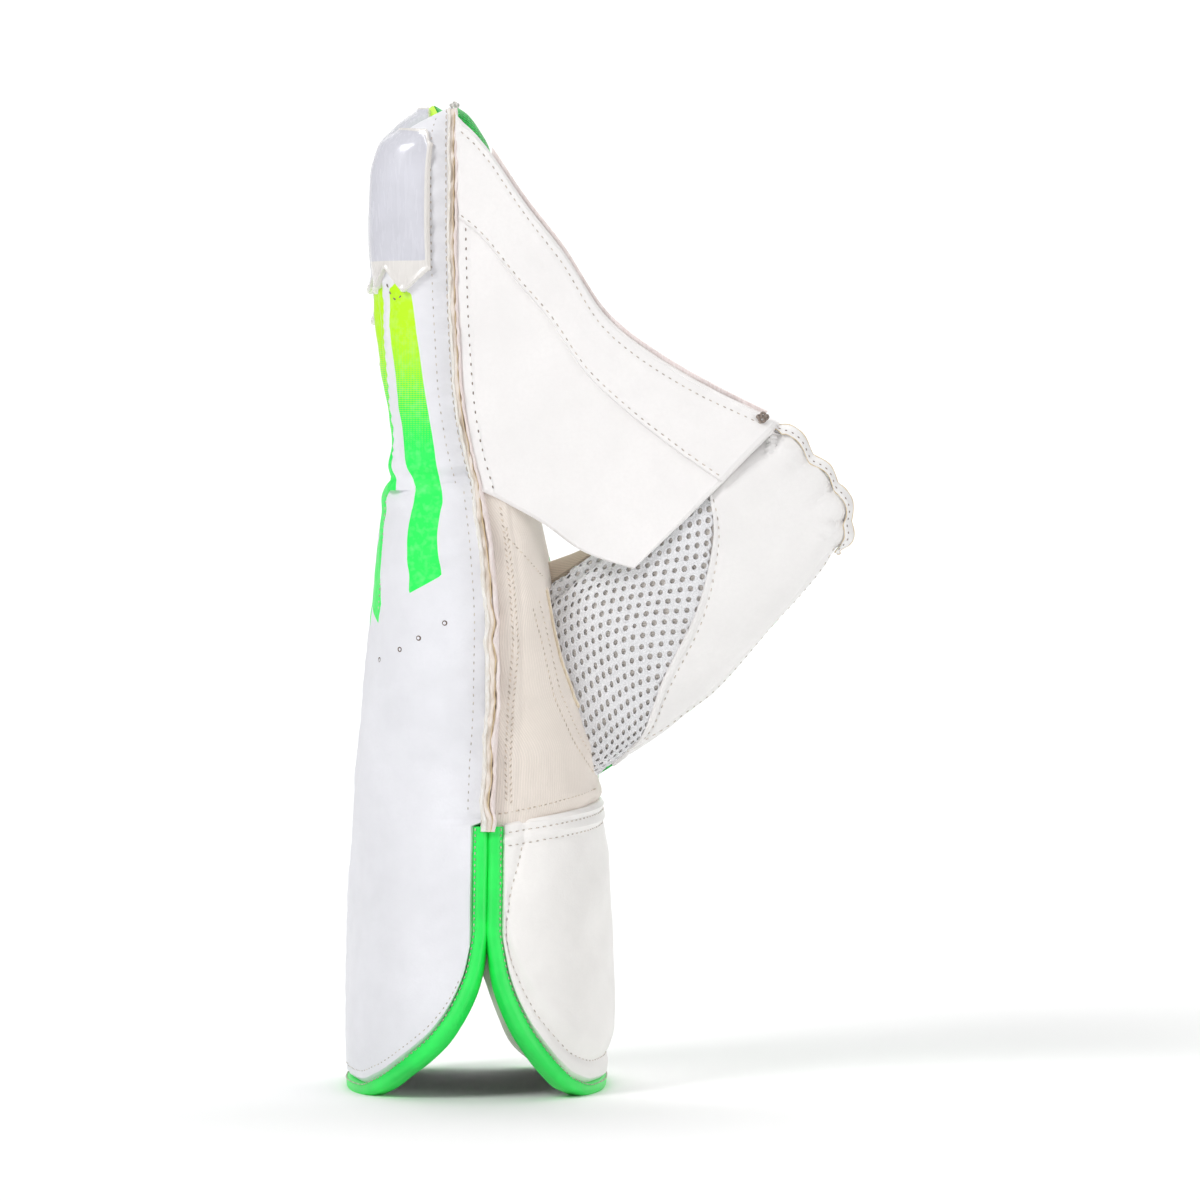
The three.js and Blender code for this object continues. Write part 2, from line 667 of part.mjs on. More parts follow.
// Finger stalls: leather back, rubber palm side and the clear guard over the tip
const stallSteps = STALL.map((row) => row.at);
const stallAt = (t) => {
  const x = t * (stallSteps.length - 1);
  const i = Math.min(Math.floor(x), stallSteps.length - 2);
  return mix(stallSteps[i], stallSteps[i + 1], x - i);
};
for (const finger of fingers) {
  const surface = (turn, at) => stall(finger, turn, at);
  const rows = stallSteps.length - 1;
  const options = (shift) => ({ pole: up, shift, step: 2e-3 });
  add(
    finger.name + "_back",
    wall(surface, (s, t) => [mix(-1, 1, s), stallAt(t)], 10, rows, STALL_WALL, options(toBack)),
    WHITE,
    0.55,
  );
  add(
    finger.name + "_palm",
    wall(surface, (s, t) => [mix(1, 3, s), stallAt(t)], 6, rows, RUBBER_WALL, options(toPalm)),
    GREEN,
    0.75,
  );
  const capPlace = (s, t) => {
    const turn = mix(-CAP_TURN, CAP_TURN, s);
    const i = Math.round(t * CAP_STATIONS.length);
    const edge = smooth(CAP_EDGE, "turn", "at", Math.abs(turn));
    return [turn, i === 0 ? edge : CAP_STATIONS[i - 1]];
  };
  add(
    finger.name + "_cap",
    wall(surface, capPlace, 8, CAP_STATIONS.length, CAP_WALL, {
      lift: GAP + CAP_WALL,
      shift: toBack,
      step: 2e-3,
    }),
    CLEAR,
    0.2,
    { transparent: true, opacity: 0.6 },
  );
}

// Raw seam standing out along one side of the glove, from the fingertip to the cuff
function seamLine(finger, turn) {
  const side = turn === 1 ? -1 : 1;
  const points = [];
  const steps = 15;
  for (let i = 0; i <= steps; i++) {
    const at = SEAM_TOP * (1 - Math.pow(i / steps, 1.5));
    points.push(stall(finger, turn, at));
  }
  for (let i = 1; i <= steps; i++) {
    points.push(body(turn, mix(knuckles, CUFF_HEIGHT + GAP, i / steps)));
  }
  const w = SEAM_WIDTH / 2;
  const stations = points.map((p, i) => {
    const a = points[Math.max(i - 1, 0)];
    const b = points[Math.min(i + 1, points.length - 1)];
    const forward = b.clone().sub(a).normalize();
    const x = new THREE.Vector3(1, 0, 0);
    const out = new THREE.Vector3().crossVectors(x, forward).normalize();
    if (out.y * side < 0) out.negate();
    const flat = new THREE.Vector3().crossVectors(forward, out).normalize();
    const wave = 0.12 * SEAM_WIDTH * Math.sin(i * 2.1) * Math.min(1, i / steps);
    const low = 2 * GAP;
    const corners = [
      [-w, low],
      [w, low],
      [w + wave, low + SEAM_RISE],
      [-w + wave, low + SEAM_RISE],
    ];
    return corners.map(([f, o]) => p.clone().addScaledVector(flat, f).addScaledVector(out, o));
  });
  return bar(stations);
}
add("thumb_side_seam", seamLine(fingers[0], 1), PINKISH, 0.9);
add("little_side_seam", seamLine(fingers[fingers.length - 1], 3), PINKISH, 0.9);

// Thumb: airy mesh and leather outside, rubber inside
const toFront = new THREE.Vector3(0, -2 * GAP, 0);
const toRear = new THREE.Vector3(0, 2 * GAP, 0);
const meshTurn = (at) => smooth(MESH_EDGE, "at", "turn", at);
const meshLow = MESH_EDGE[0].at;
const meshHigh = MESH_EDGE[MESH_EDGE.length - 1].at;
const thumbGap = GAP / (THUMB_WIDTH * 0.5);
const meshPlace = (s, t) => {
  const at = mix(-0.2, meshHigh, t);
  return [mix(-1, meshTurn(at) - thumbGap, s), at];
};
const leatherLow = (at) => meshTurn(at) + thumbGap;
const crotchEdge = -1 + 2 * thumbGap;
const leatherPlace = (s, t) => {
  const at = mix(meshLow, 1, Math.pow(t, 0.85));
  const blend = Math.min(Math.max((at - meshHigh + 0.03) / 0.05, 0), 1);
  const low = at < meshHigh - 0.03 ? leatherLow(at) : mix(leatherLow(meshHigh - 0.03), crotchEdge, blend);
  return [mix(low, 1, s), at];
};
const thumbOptions = (shift) => ({ shift, vScale: 1 });
const meshWall = toSolid(wall(thumb, meshPlace, 8, 9, MESH_WALL, thumbOptions(toFront)));
const tipThin = (at) => Math.min(1, Math.max(0.45, thumbRow(at).front / (2.2 * STALL_WALL)));
const leatherForm = (columns, rows, lift, thickness) =>
  wall(thumb, leatherPlace, columns, rows, thickness, {
    ...thumbOptions(toFront),
    lift,
    shape: (s, t) => tipThin(leatherPlace(s, t)[1]),
  });
const leatherWall = toSolid(leatherForm(9, 13, 0, STALL_WALL));
const leatherRoom = toSolid(leatherForm(9, 13, GAP, STALL_WALL + 2 * GAP));
add("thumb_mesh", toGeometry(meshWall.subtract(handForm).subtract(leatherRoom)), WHITE, 0.9);
add("thumb_leather", toGeometry(leatherWall.subtract(handForm)), OFF_WHITE, 0.55);
const palmPlace = (s, t) => [mix(1, 3, s), mix(-0.2, 1, t)];
const palmWall = toSolid(
  wall(thumb, palmPlace, 10, 11, RUBBER_WALL, {
    ...thumbOptions(toRear),
    shape: (s, t) => tipThin(palmPlace(s, t)[1]),
  }),
);
add("thumb_palm", toGeometry(palmWall.subtract(handForm).subtract(leatherRoom)), GREEN, 0.75);

// Gathered band round the tip of the thumb
const tipTurns = [];
const tipFrom = 0.86;
const tipUpper = 0.955;
const tipSteps = 7;
for (let i = 0; i <= tipSteps; i++) tipTurns.push([3, mix(tipUpper, 1, i / tipSteps)]);
for (let i = 1; i < tipSteps; i++) tipTurns.push([mix(3, 5, i / tipSteps), 1]);
for (let i = 0; i <= tipSteps; i++) tipTurns.push([1, mix(1, tipFrom, i / tipSteps)]);
const tipPath = tipTurns.map(([turn, at]) => {
  const p = thumb(turn, at);
  return p.setY(thumbRow(at).y);
});
const tipCurve = new THREE.CatmullRomCurve3(tipPath, false, "centripetal");
const tipStations = [];
const tipCount = 40;
for (let i = 0; i <= tipCount; i++) {
  const f = i / tipCount;
  const p = tipCurve.getPointAt(f);
  const forward = tipCurve.getTangentAt(f);
  const out = new THREE.Vector3(0, -1, 0).cross(forward).normalize();
  const ripple = Math.abs(Math.sin(Math.PI * RUFFLES * f));
  const reach = GATHER_WIDTH * (0.62 + 0.38 * ripple);
  const full = Math.min(1, 0.3 + f * 5);
  const thick = (GATHER_THICKNESS / 2) * (0.7 + 0.3 * ripple) * full;
  const wave = 0.14 * GATHER_THICKNESS * Math.sin(2 * Math.PI * RUFFLES * f) * full;
  const low = GAP * 1.6;
  const corners = [
    [low, thick * 0.8],
    [low, -thick * 0.8],
    [low + reach * 0.6, -thick + wave],
    [low + reach, -thick * 0.45 + wave],
    [low + reach, thick * 0.45 + wave],
    [low + reach * 0.6, thick + wave],
  ];
  const y = new THREE.Vector3(0, 1, 0);
  tipStations.push(
    corners.map(([o, h]) => p.clone().addScaledVector(out, o).addScaledVector(y, h)),
  );
}
const thumbForm = toSolid(filledForm(thumb, 28, -0.3, 1, 12, GAP, 1e-3));
add("thumb_gather", toGeometry(toSolid(bar(tipStations)).subtract(thumbForm)), OFF_WHITE, 0.7);

// Web: a leather sheet from the index seam to the face of the thumb
const index = fingers[0];
const clearOfSeam = SEAM_WIDTH / 2 + GAP;
const leftZ = (t) => {
  const low = WEB_LOW[0].rise;
  const high = WEB_HIGH[0].rise;
  return knuckles + mix(low, high, t) * FINGER_LENGTH;
};
const onSeam = (z, highest) => {
  const at = (z - knuckles - GAP) / index.length;
  return at < 0 ? body(1, z) : stall(index, 1, Math.min(at, highest));
};
const webSide = (t, run) => {
  const z = leftZ(t);
  const p = onSeam(z, SEAM_TOP);
  const side = onSeam(z, 0.86).y;
  return new THREE.Vector3(p.x + clearOfSeam + 2 * GAP + run, side - WEB_WALL - 4 * GAP, z);
};
const edgePoint = (table, s) => {
  const last = table[table.length - 1].run;
  const run = s * last;
  const z = knuckles + smooth(table, "run", "rise", run) * FINGER_LENGTH;
  const start = webSide(table === WEB_LOW ? 0 : 1, 0);
  return new THREE.Vector2(start.x + run * WEB_REACH, z);
};

function web(s, t) {
  const low = edgePoint(WEB_LOW, s);
  const high = edgePoint(WEB_HIGH, s);
  const left = webSide(t, 0);
  const leftLow = webSide(0, 0);
  const leftHigh = webSide(1, 0);
  const straight = mix(leftLow.x, leftHigh.x, t);
  const x = mix(low.x, high.x, t) + (left.x - straight) * (1 - s);
  const straightZ = mix(leftLow.z, leftHigh.z, t);
  const z = mix(low.y, high.y, t) + (left.z - straightZ) * (1 - s);
  const sag = WEB_SLACK * Math.sin(Math.PI * s * s) * Math.sin(Math.PI * t);
  const clear = WEB_WALL + 5 * GAP;
  const face = thumbFaceY(x, z) - clear;
  const rightX = mix(edgePoint(WEB_LOW, 1).x, edgePoint(WEB_HIGH, 1).x, t);
  const rightZ = mix(edgePoint(WEB_LOW, 1).y, edgePoint(WEB_HIGH, 1).y, t);
  const right = thumbFaceY(rightX, rightZ) - clear;
  const y = mix(left.y, right, s) + sag;
  const soft = 2;
  const over = y - face;
  const touch = over > soft ? over : over < -soft ? 0 : ((over + soft) * (over + soft)) / (4 * soft);
  return new THREE.Vector3(x, y - touch * Math.min(1, s * 3), z);
}
const bandFrom = (s) => BAND_EDGE - 0.13 * s + 0.06 * Math.sin(Math.PI * s);
const bandTop = 0.985;
const bandRows = 2;
const webRows = 6;
const webPlace = (s, t) => {
  const row = Math.round(t * (webRows + bandRows + 1));
  if (row <= webRows) return [s, (bandFrom(s) * row) / webRows];
  if (row <= webRows + bandRows) return [s, mix(bandFrom(s), bandTop, (row - webRows) / bandRows)];
  return [s, 1];
};
const webColumns = 14;
const webStep = { step: 4e-3 };
add(
  "web",
  wall(web, webPlace, webColumns, webRows + bandRows + 1, WEB_WALL, webStep),
  WARM_WHITE,
  0.6,
);
add(
  "web_band",
  wall(web, (s, t) => [s, mix(bandFrom(s), bandTop, t)], webColumns, bandRows, BAND_WALL, {
    ...webStep,
    lift: GAP + BAND_WALL,
  }),
  WARM_WHITE,
  0.6,
);
const backingPlace = (s, t) => {
  const along = mix(2 / webColumns, 1 - 1 / webColumns, s);
  return [along, t < 0.99 ? mix(bandFrom(along), bandTop, t * 1.5) : 1.015];
};
add(
  "web_backing",
  wall(web, backingPlace, webColumns - 3, 3, BACKING_WALL, { ...webStep, lift: -WEB_WALL - 2 * GAP }),
  PINKISH,
  0.85,
);

// Ground under the middle of the glove
const bounds = new THREE.Box3().setFromObject(glove);
const middle = bounds.getCenter(new THREE.Vector3());
glove.position.set(-middle.x, -middle.y, -bounds.min.z);

export default glove;
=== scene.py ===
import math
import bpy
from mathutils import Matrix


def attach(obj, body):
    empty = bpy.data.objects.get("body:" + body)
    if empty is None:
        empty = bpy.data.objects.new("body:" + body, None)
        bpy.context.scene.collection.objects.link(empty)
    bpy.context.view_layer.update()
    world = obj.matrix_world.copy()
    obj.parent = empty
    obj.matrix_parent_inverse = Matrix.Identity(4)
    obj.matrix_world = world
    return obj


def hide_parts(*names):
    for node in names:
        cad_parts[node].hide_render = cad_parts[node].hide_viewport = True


bl_info = {
    "name": "Wicketkeeping Glove",
    "version": (1, 0, 0),
    "blender": (4, 5, 0),
    "location": "View3D > Sidebar > Glove",
    "description": "Dresses a wicketkeeping glove in leather, rubber, mesh, cloth and stitching",
    "category": "Object",
}

import bpy
import numpy as np
from bpy.props import FloatProperty, FloatVectorProperty, PointerProperty
from mathutils import Vector

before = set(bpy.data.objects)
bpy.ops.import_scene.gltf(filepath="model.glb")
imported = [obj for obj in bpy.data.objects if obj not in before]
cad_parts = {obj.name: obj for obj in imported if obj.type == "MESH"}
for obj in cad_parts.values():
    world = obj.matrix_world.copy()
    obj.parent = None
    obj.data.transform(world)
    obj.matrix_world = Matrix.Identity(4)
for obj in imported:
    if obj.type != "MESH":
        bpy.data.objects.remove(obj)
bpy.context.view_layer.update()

# Sizes of the frame's solids, in millimetres, in their own axes before the part is centred
MM = 0.001
SHIFT = np.array([-38.521, -0.338, 0.0])
PHOTO_MM = 0.32
PHOTO_LEFT = 480
PHOTO_FOOT = 1095
DEPTH = 84.0
WIDTH = 106.0
CUFF = 88.0
HAND = 108.0
KNUCKLES = CUFF + HAND
FINGER = 121.0
FINGER_SPACE = 0.9
GAP = 0.3
QUARTER = math.pi / 2

# Sections of hand and cuff: height, back, seam, palm, half width, squareness
BODY = np.array([
    (0.0 * CUFF, -0.512, 0.03, 0.47, 0.585, 2.4),
    (0.23 * CUFF, -0.526, 0.03, 0.494, 0.575, 2.4),
    (0.57 * CUFF, -0.516, 0.03, 0.484, 0.538, 2.4),
    (0.8 * CUFF, -0.507, 0.032, 0.474, 0.503, 2.45),
    (CUFF, -0.498, 0.034, 0.452, 0.477, 2.5),
    (CUFF + 0.16 * HAND, -0.485, 0.04, 0.448, 0.465, 2.6),
    (CUFF + 0.34 * HAND, -0.454, 0.051, 0.4, 0.473, 2.8),
    (CUFF + 0.57 * HAND, -0.423, 0.051, 0.297, 0.491, 3.2),
    (CUFF + 0.8 * HAND, -0.399, 0.03, 0.25, 0.503, 3.8),
    (CUFF + HAND, -0.357, -0.006, 0.19, 0.5, 4.5),
])
# Sections of a finger: share of its length, back, seam, palm, half width, squareness
STALL = np.array([
    (0.0, -0.352, -0.006, 0.17, 1.0, 3.0),
    (0.12, -0.331, -0.05, 0.131, 1.0, 2.9),
    (0.25, -0.348, -0.076, 0.107, 1.0, 2.8),
    (0.4, -0.362, -0.088, 0.095, 1.0, 2.7),
    (0.52, -0.376, -0.095, 0.083, 0.98, 2.6),
    (0.68, -0.392, -0.098, 0.071, 0.95, 2.5),
    (0.8, -0.388, -0.098, 0.06, 0.93, 2.5),
    (0.88, -0.36, -0.098, 0.034, 0.87, 2.4),
    (0.93, -0.278, -0.098, -0.002, 0.73, 2.3),
    (0.975, -0.17, -0.097, -0.05, 0.46, 2.2),
    (1.0, -0.096, -0.096, -0.096, 0.0, 2.0),
])
# Fingers: name, reach, width, splay, arch, lean of the tip
FINGERS = [
    ("index", 0.99, 0.255, -0.03, 0.0, 0.0),
    ("middle", 1.0, 0.258, -0.008, -0.016, 0.085),
    ("ring", 0.84, 0.25, 0.014, -0.012, 0.075),
    ("little", 0.615, 0.237, 0.04, 0.012, 0.06),
]
TIP_LEAN_FROM = 0.84
# Lower edge of each cuff flap: turn from its middle, lift on the thumb side and on the far side
BACK_FLAP = np.array([
    (0.0, 0.0, 0.0),
    (0.36, 0.0, 0.0),
    (0.5, 0.034, 0.034),
    (0.64, 0.104, 0.104),
    (0.78, 0.198, 0.198),
    (0.86, 0.28, 0.28),
    (0.92, 0.368, 0.368),
    (0.97, 0.475, 0.475),
    (1.0, 0.61, 0.61),
])
PALM_FLAP = np.array([
    (0.0, 0.0, 0.0),
    (0.36, 0.0, 0.0),
    (0.53, 0.034, 0.008),
    (0.65, 0.096, 0.04),
    (0.79, 0.21, 0.13),
    (0.885, 0.325, 0.23),
    (0.955, 0.45, 0.35),
    (1.0, 0.61, 0.56),
])
PALM_SEAM_LIFT = 0.06
SEAM_FOOT = 3.0
PAD_INSET = 7.0
LINING_SLACK = 4.0
# Lower edge of the lining, which stands out past the edge of the palm flap
LINING = np.array([
    (0.0, 0.04, 0.03),
    (0.36, 0.06, 0.03),
    (0.595, 0.117, 0.03),
    (0.695, 0.168, 0.06),
    (0.79, 0.231, 0.11),
    (0.87, 0.333, 0.19),
    (0.95, 0.464, 0.31),
    (1.0, 0.56, 0.4),
])
# Sections of the thumb: share of its length, upper and lower edge, outer and inner face, spread
THUMB = np.array([
    (-0.3, 0.5, 0.46, 0.42, 0.46, 0.5),
    (-0.1, 0.51, 0.51, 0.47, 0.5, 0.5),
    (0.09, 0.51, 0.55, 0.5, 0.53, 0.42),
    (0.28, 0.49, 0.57, 0.5, 0.54, 0.2),
    (0.5, 0.47, 0.52, 0.49, 0.53, 0.05),
    (0.7, 0.46, 0.46, 0.45, 0.5, 0.0),
    (0.86, 0.445, 0.42, 0.36, 0.4, 0.0),
    (0.95, 0.4, 0.34, 0.22, 0.24, 0.0),
    (1.0, 0.3, 0.16, 0.1, 0.1, 0.0),
])
THUMB_LENGTH = 103.0
THUMB_WIDTH = 56.0
THUMB_THICKNESS = 28.0
THUMB_SLANT = 30.0
THUMB_SQUARE = 2.4
THUMB_ANGLE = math.radians(41.2)
# Edge between mesh and leather on the thumb, and the web's two edges
MESH_EDGE = np.array([
    (-0.1, 0.93),
    (0.0, 0.72),
    (0.19, 0.37),
    (0.44, 0.14),
    (0.6, -0.14),
    (0.68, -0.42),
    (0.735, -0.93),
])
GUSSET_TURN = 1.66
WEB_REACH = 99.0
WEB_LOW = np.array(
    [(0.0, -0.02), (0.188, -0.107), (0.307, -0.178), (0.391, -0.207), (0.475, -0.228)]
)
WEB_HIGH = np.array([
    (0.0, 0.965),
    (0.15, 0.785),
    (0.32, 0.615),
    (0.463, 0.436),
    (0.6, 0.342),
    (0.78, 0.252),
    (1.02, 0.156),
])
BAND_EDGE = 0.73
CAP_EDGE = np.array([(0.0, 0.5), (0.25, 0.515), (0.42, 0.565), (0.58, 0.5), (0.8, 0.56)])


WEB_SAG = 3
UV_PER_METRE = 10
INNER_RELIEF = 0.4
ALL_SIDES = ("left", "right", "low", "high")
STITCH_RINGS, STITCH_SIDES = 5, 6
FLAP_RISE = 14
FLAP_THICKNESS = 6
LINING_DEPTH = 6.2
CUFF_SEAMS = (3.2, 7.4)
FINGER_SEAM, HAND_SEAM_INSET = 5.4, 8.2
MESH_END = 0.705
GUARD_TOPS = (0.93, 0.984, 0.968, 0.968)
# Levels of a mark where it must not show, on the leather and on the guards
AWAY, GUARD_AWAY = -5, -9
# Sizes of the finishes' patterns, in m or as scales of their textures
PORES = 0.00006
HALFTONE = (0.00064, 0.0009)
PIMPLES = 50.0
WAVE = 0.314
# Columns and rows of the photograph: the print's fade, the index guard, holes and sewn lines
FADE_ROWS = (470, 300)
GUARD_FOOT = 262
GUARD_PATH = [(428, 142), (429, 200), (430, 268), (414, 284), (397, 303), (390, 291), (387, 279)]
HOLES = ((379, 660), (400, 648), (420, 636), (445, 622))
FOLD_PATH = [(387, 492), (384, 530), (382, 560), (380, 590), (378, 612)]
MESH_SEAM_PATH = [(546, 590), (552, 625), (560, 660), (573, 697), (590, 735), (612, 771)]
GUSSET_PATHS = (
    (61, 0.55, [
        (501, 505), (506, 540), (511, 590), (514, 640), (509, 700), (506, 760), (507, 802),
    ]),
    (62, -0.55, [
        (507, 525), (512, 560), (516, 600), (519, 645), (514, 700), (511, 760), (512, 802),
    ]),
    (63, 0.3, [(508, 536), (530, 560), (546, 580)]),
    (64, 0.4, [(539, 598), (549, 640), (560, 690), (579, 735), (600, 772)]),
    (65, -0.4, [(533, 606), (543, 645), (554, 695), (573, 740), (594, 776)]),
    (66, 0.0, [(498, 812), (540, 804), (596, 791)]),
)
# Layers of the side seams: offset, thickness, height, finish and seed
SEAM_LAYERS = (
    ("outer", -1.45, 1.3, 4.5, "edge_white", 1),
    ("felt", -0.25, 2.1, 3.9, "edge_beige", 2),
    ("waxed", 0.42, 0.28, 4.4, "edge_ochre", 4),
    ("inner", 1.25, 1.2, 4.4, "edge_pink", 3),
)


def seam_pitch():
    return sizes().stitch_pitch / MM


def smooth(rows, x, column=1):
    """Smooth curve through one column of a table, against its first column."""
    xs, ys = rows[:, 0], rows[:, column]
    x = np.clip(x, xs[0], xs[-1])
    i = np.clip(np.searchsorted(xs, x, side="left") - 1, 0, len(xs) - 2)
    rise = np.diff(ys) / np.diff(xs)
    a, b = rise[:-1], rise[1:]
    same = a * b > 0
    inner = np.where(same, 2 * a * b / np.where(same, a + b, 1), 0)
    tangent = np.concatenate([[rise[0]], inner, [rise[-1]]])
    span = xs[i + 1] - xs[i]
    f = (x - xs[i]) / span
    h = f * f * (3 - 2 * f)
    bend = f * (1 - f) ** 2 * tangent[i] - f * f * (1 - f) * tangent[i + 1]
    return ys[i] + (ys[i + 1] - ys[i]) * h + span * bend


def mix(a, b, f):
    return a + (b - a) * f


def ramp(x, low, high):
    """0 below low, 1 above high, eased between."""
    f = np.clip((x - low) / (high - low), 0, 1)
    return f * f * (3 - 2 * f)


def hump(x, middle, width):
    """A soft ridge of height 1 at middle."""
    return np.exp(-(((x - middle) / width) ** 2))


def around(turn, back, seam, palm, half, square):
    """Rounded section: turn 0 is the back, 1 the thumb-side seam, 2 the palm, 3 the far seam."""
    c, s = np.cos(turn * QUARTER), np.sin(turn * QUARTER)
    r = (np.abs(c) ** square + np.abs(s) ** square) ** (-1 / square)
    reach = np.where(c > 0, back - seam, palm - seam)
    return seam + r * np.abs(c) * reach, -r * s * half


def body_row(z):
    back, seam, palm, half, square = (smooth(BODY, z, k) for k in range(1, 6))
    return back * DEPTH, seam * DEPTH, palm * DEPTH, half * WIDTH, square


def body(turn, z):
    x, y = around(turn, *body_row(z))
    return np.stack(np.broadcast_arrays(x, y, z), -1)


def finger_layout():
    """Centre, width and length of each finger, side by side across the knuckles."""
    half = float(body_row(np.array(KNUCKLES))[3])
    total = sum(finger[2] for finger in FINGERS)
    clear = 2 * half - (len(FINGERS) - 1) * FINGER_SPACE
    left, layout = -half, []
    for _, reach, wide, *_ in FINGERS:
        width = wide * clear / total
        layout.append((left + width / 2, width, reach * FINGER))
        left += width + FINGER_SPACE
    return layout


LAYOUT = finger_layout()


def stall(k, turn, at):
    """Finger k: turn as for the hand, at is the share of its length."""
    centre, width, length = LAYOUT[k]
    _, reach, _, splay, arch, tip = FINGERS[k]
    bow = arch * DEPTH * np.sin(np.pi * np.clip(at, 0, 1))
    near = np.clip((at - TIP_LEAN_FROM) / (1 - TIP_LEAN_FROM), 0, 1)
    lean = tip * DEPTH * near * near
    back, seam, palm = (smooth(STALL, at, k) * DEPTH + bow - lean for k in (1, 2, 3))
    half = smooth(STALL, at, 4) * width / 2
    x, y = around(turn, back, seam, palm, half, smooth(STALL, at, 5))
    y = y + centre + splay * WIDTH * at * reach
    return np.stack(np.broadcast_arrays(x, y, KNUCKLES + GAP + at * length), -1)


ALONG = np.array([math.cos(THUMB_ANGLE), 0, math.sin(THUMB_ANGLE)])
ACROSS = np.array([-math.sin(THUMB_ANGLE), 0, math.cos(THUMB_ANGLE)])
ROOT_Z = CUFF + 0.415 * HAND
ROOT = np.array([0.374 * DEPTH, -0.36 * float(body_row(np.array(ROOT_Z))[3]), ROOT_Z])


def thumb_row(at):
    rise, fall, front, rear, spread = (smooth(THUMB, at, k) for k in range(1, 6))
    wide, thick = THUMB_WIDTH, THUMB_THICKNESS
    y = ROOT[1] - at * THUMB_SLANT
    return rise * wide, fall * wide, front * thick, rear * thick, spread * wide, y


def thumb(turn, at):
    """Thumb: turn 0 is its outer face, 1 its lower edge, 3 its crotch edge."""
    rise, fall, front, rear, spread, middle = thumb_row(at)
    c, s = np.cos(turn * QUARTER), np.sin(turn * QUARTER)
    r = (np.abs(c) ** THUMB_SQUARE + np.abs(s) ** THUMB_SQUARE) ** (-1 / THUMB_SQUARE)
    wide = np.where(s > 0, -r * s * fall, -r * s * rise)
    y = np.where(c > 0, -r * c * front, -r * c * rear)
    lean = np.where((s < 0) & (c < 0), spread * r * s * r * c, 0)
    wide = wide + lean
    x = ROOT[0] + ALONG[0] * at * THUMB_LENGTH + ACROSS[0] * wide
    z = ROOT[2] + ALONG[2] * at * THUMB_LENGTH + ACROSS[2] * wide
    return np.stack(np.broadcast_arrays(x, middle + y, z), -1)


def thumb_face_y(x, z):
    dx, dz = x - ROOT[0], z - ROOT[2]
    at = (dx * ALONG[0] + dz * ALONG[2]) / THUMB_LENGTH
    wide = dx * ACROSS[0] + dz * ACROSS[2]
    rise, fall, front, rear, spread, middle = thumb_row(np.clip(at, -0.1, 1))
    share = np.minimum(np.abs(wide) / np.where(wide > 0, rise, fall), 1)
    return middle - front * (1 - share**THUMB_SQUARE) ** (1 / THUMB_SQUARE)


def mesh_turn(at):
    """Turn of the edge between mesh and leather on the thumb."""
    return smooth(MESH_EDGE, at)


def index_seam(z, highest):
    at = (z - KNUCKLES - GAP) / LAYOUT[0][2]
    up = stall(0, 1.0, np.clip(at, 0, highest))
    return np.where((at < 0)[..., None], body(1.0, z), up)


WEB_CLEAR = 2.7 / 2 + GAP
WEB_TUCK = 1.3
WEB_RISE = 2.6


def web_side(t):
    z = KNUCKLES + mix(WEB_LOW[0, 1], WEB_HIGH[0, 1], t) * FINGER
    p = index_seam(z, 0.975)
    y = index_seam(z, 0.86)[..., 1] - 2.2 - 4 * GAP
    return np.stack([p[..., 0] + WEB_CLEAR + 2 * GAP, y, z], -1)


def web_edge(rows, s):
    run = s * rows[-1, 0]
    z = KNUCKLES + smooth(rows, run) * FINGER
    start = web_side(np.array(0.0 if rows is WEB_LOW else 1.0))[0]
    return start + run * WEB_REACH, z


def web(s, t):
    """Web sheet: s runs from the index seam to the thumb, t from its lower to its upper edge."""
    low_x, low_z = web_edge(WEB_LOW, s)
    high_x, high_z = web_edge(WEB_HIGH, s)
    high_z = high_z + WEB_RISE * hump(s, 0.11, 0.09) * ramp(s, 0, 0.05)
    left = web_side(t)
    at_low, at_high = web_side(np.array(0.0)), web_side(np.array(1.0))
    x = mix(low_x, high_x, t) + (left[..., 0] - mix(at_low[0], at_high[0], t)) * (1 - s)
    z = mix(low_z, high_z, t) + (left[..., 2] - mix(at_low[2], at_high[2], t)) * (1 - s)
    sag = WEB_SAG * np.sin(np.pi * s * s) * np.sin(np.pi * t)
    clear = 2.2 + 5 * GAP
    face = thumb_face_y(x, z) - clear
    ends = web_edge(WEB_LOW, np.array(1.0)), web_edge(WEB_HIGH, np.array(1.0))
    right_x, right_z = (mix(low, high, t) for low, high in zip(*ends))
    right = thumb_face_y(right_x, right_z) - clear
    y = mix(left[..., 1], right, s) + sag
    over = y - face
    touch = np.where(over > 2, over, np.where(over < -2, 0, (over + 2) ** 2 / 8))
    x = x - WEB_TUCK * np.clip(1 - s * 9, 0, 1) ** 2
    return np.stack([x, y - touch * np.minimum(1, s * 3), z], -1)


def band_from(s):
    return BAND_EDGE - 0.13 * s + 0.06 * np.sin(np.pi * s)


def seam_height(turn):
    return CUFF * (1 + PALM_SEAM_LIFT * np.maximum(0, -np.cos(turn * QUARTER)))


def seam_side(k, turn):
    """Points down one side of the glove, from a fingertip to the cuff, evenly spaced."""
    at = 0.975 * (1 - np.linspace(0, 1, 90) ** 1.5)
    low = np.linspace(KNUCKLES - 1, CUFF - SEAM_FOOT, 80)
    p = np.concatenate([stall(k, turn, at), body(turn, low)])
    return even(p, 0.8)


def distances(p):
    """Distance of each point of a line from its start."""
    return np.concatenate([[0], np.cumsum(np.linalg.norm(np.diff(p, axis=0), axis=1))])


def points_at(p, run, at):
    return np.stack([np.interp(at, run, p[:, k]) for k in range(3)], -1)


def even(p, pitch):
    """The same line with its points a fixed distance apart."""
    run = distances(p)
    count = max(2, int(round(run[-1] / pitch)) + 1)
    return points_at(p, run, np.linspace(0, run[-1], count))


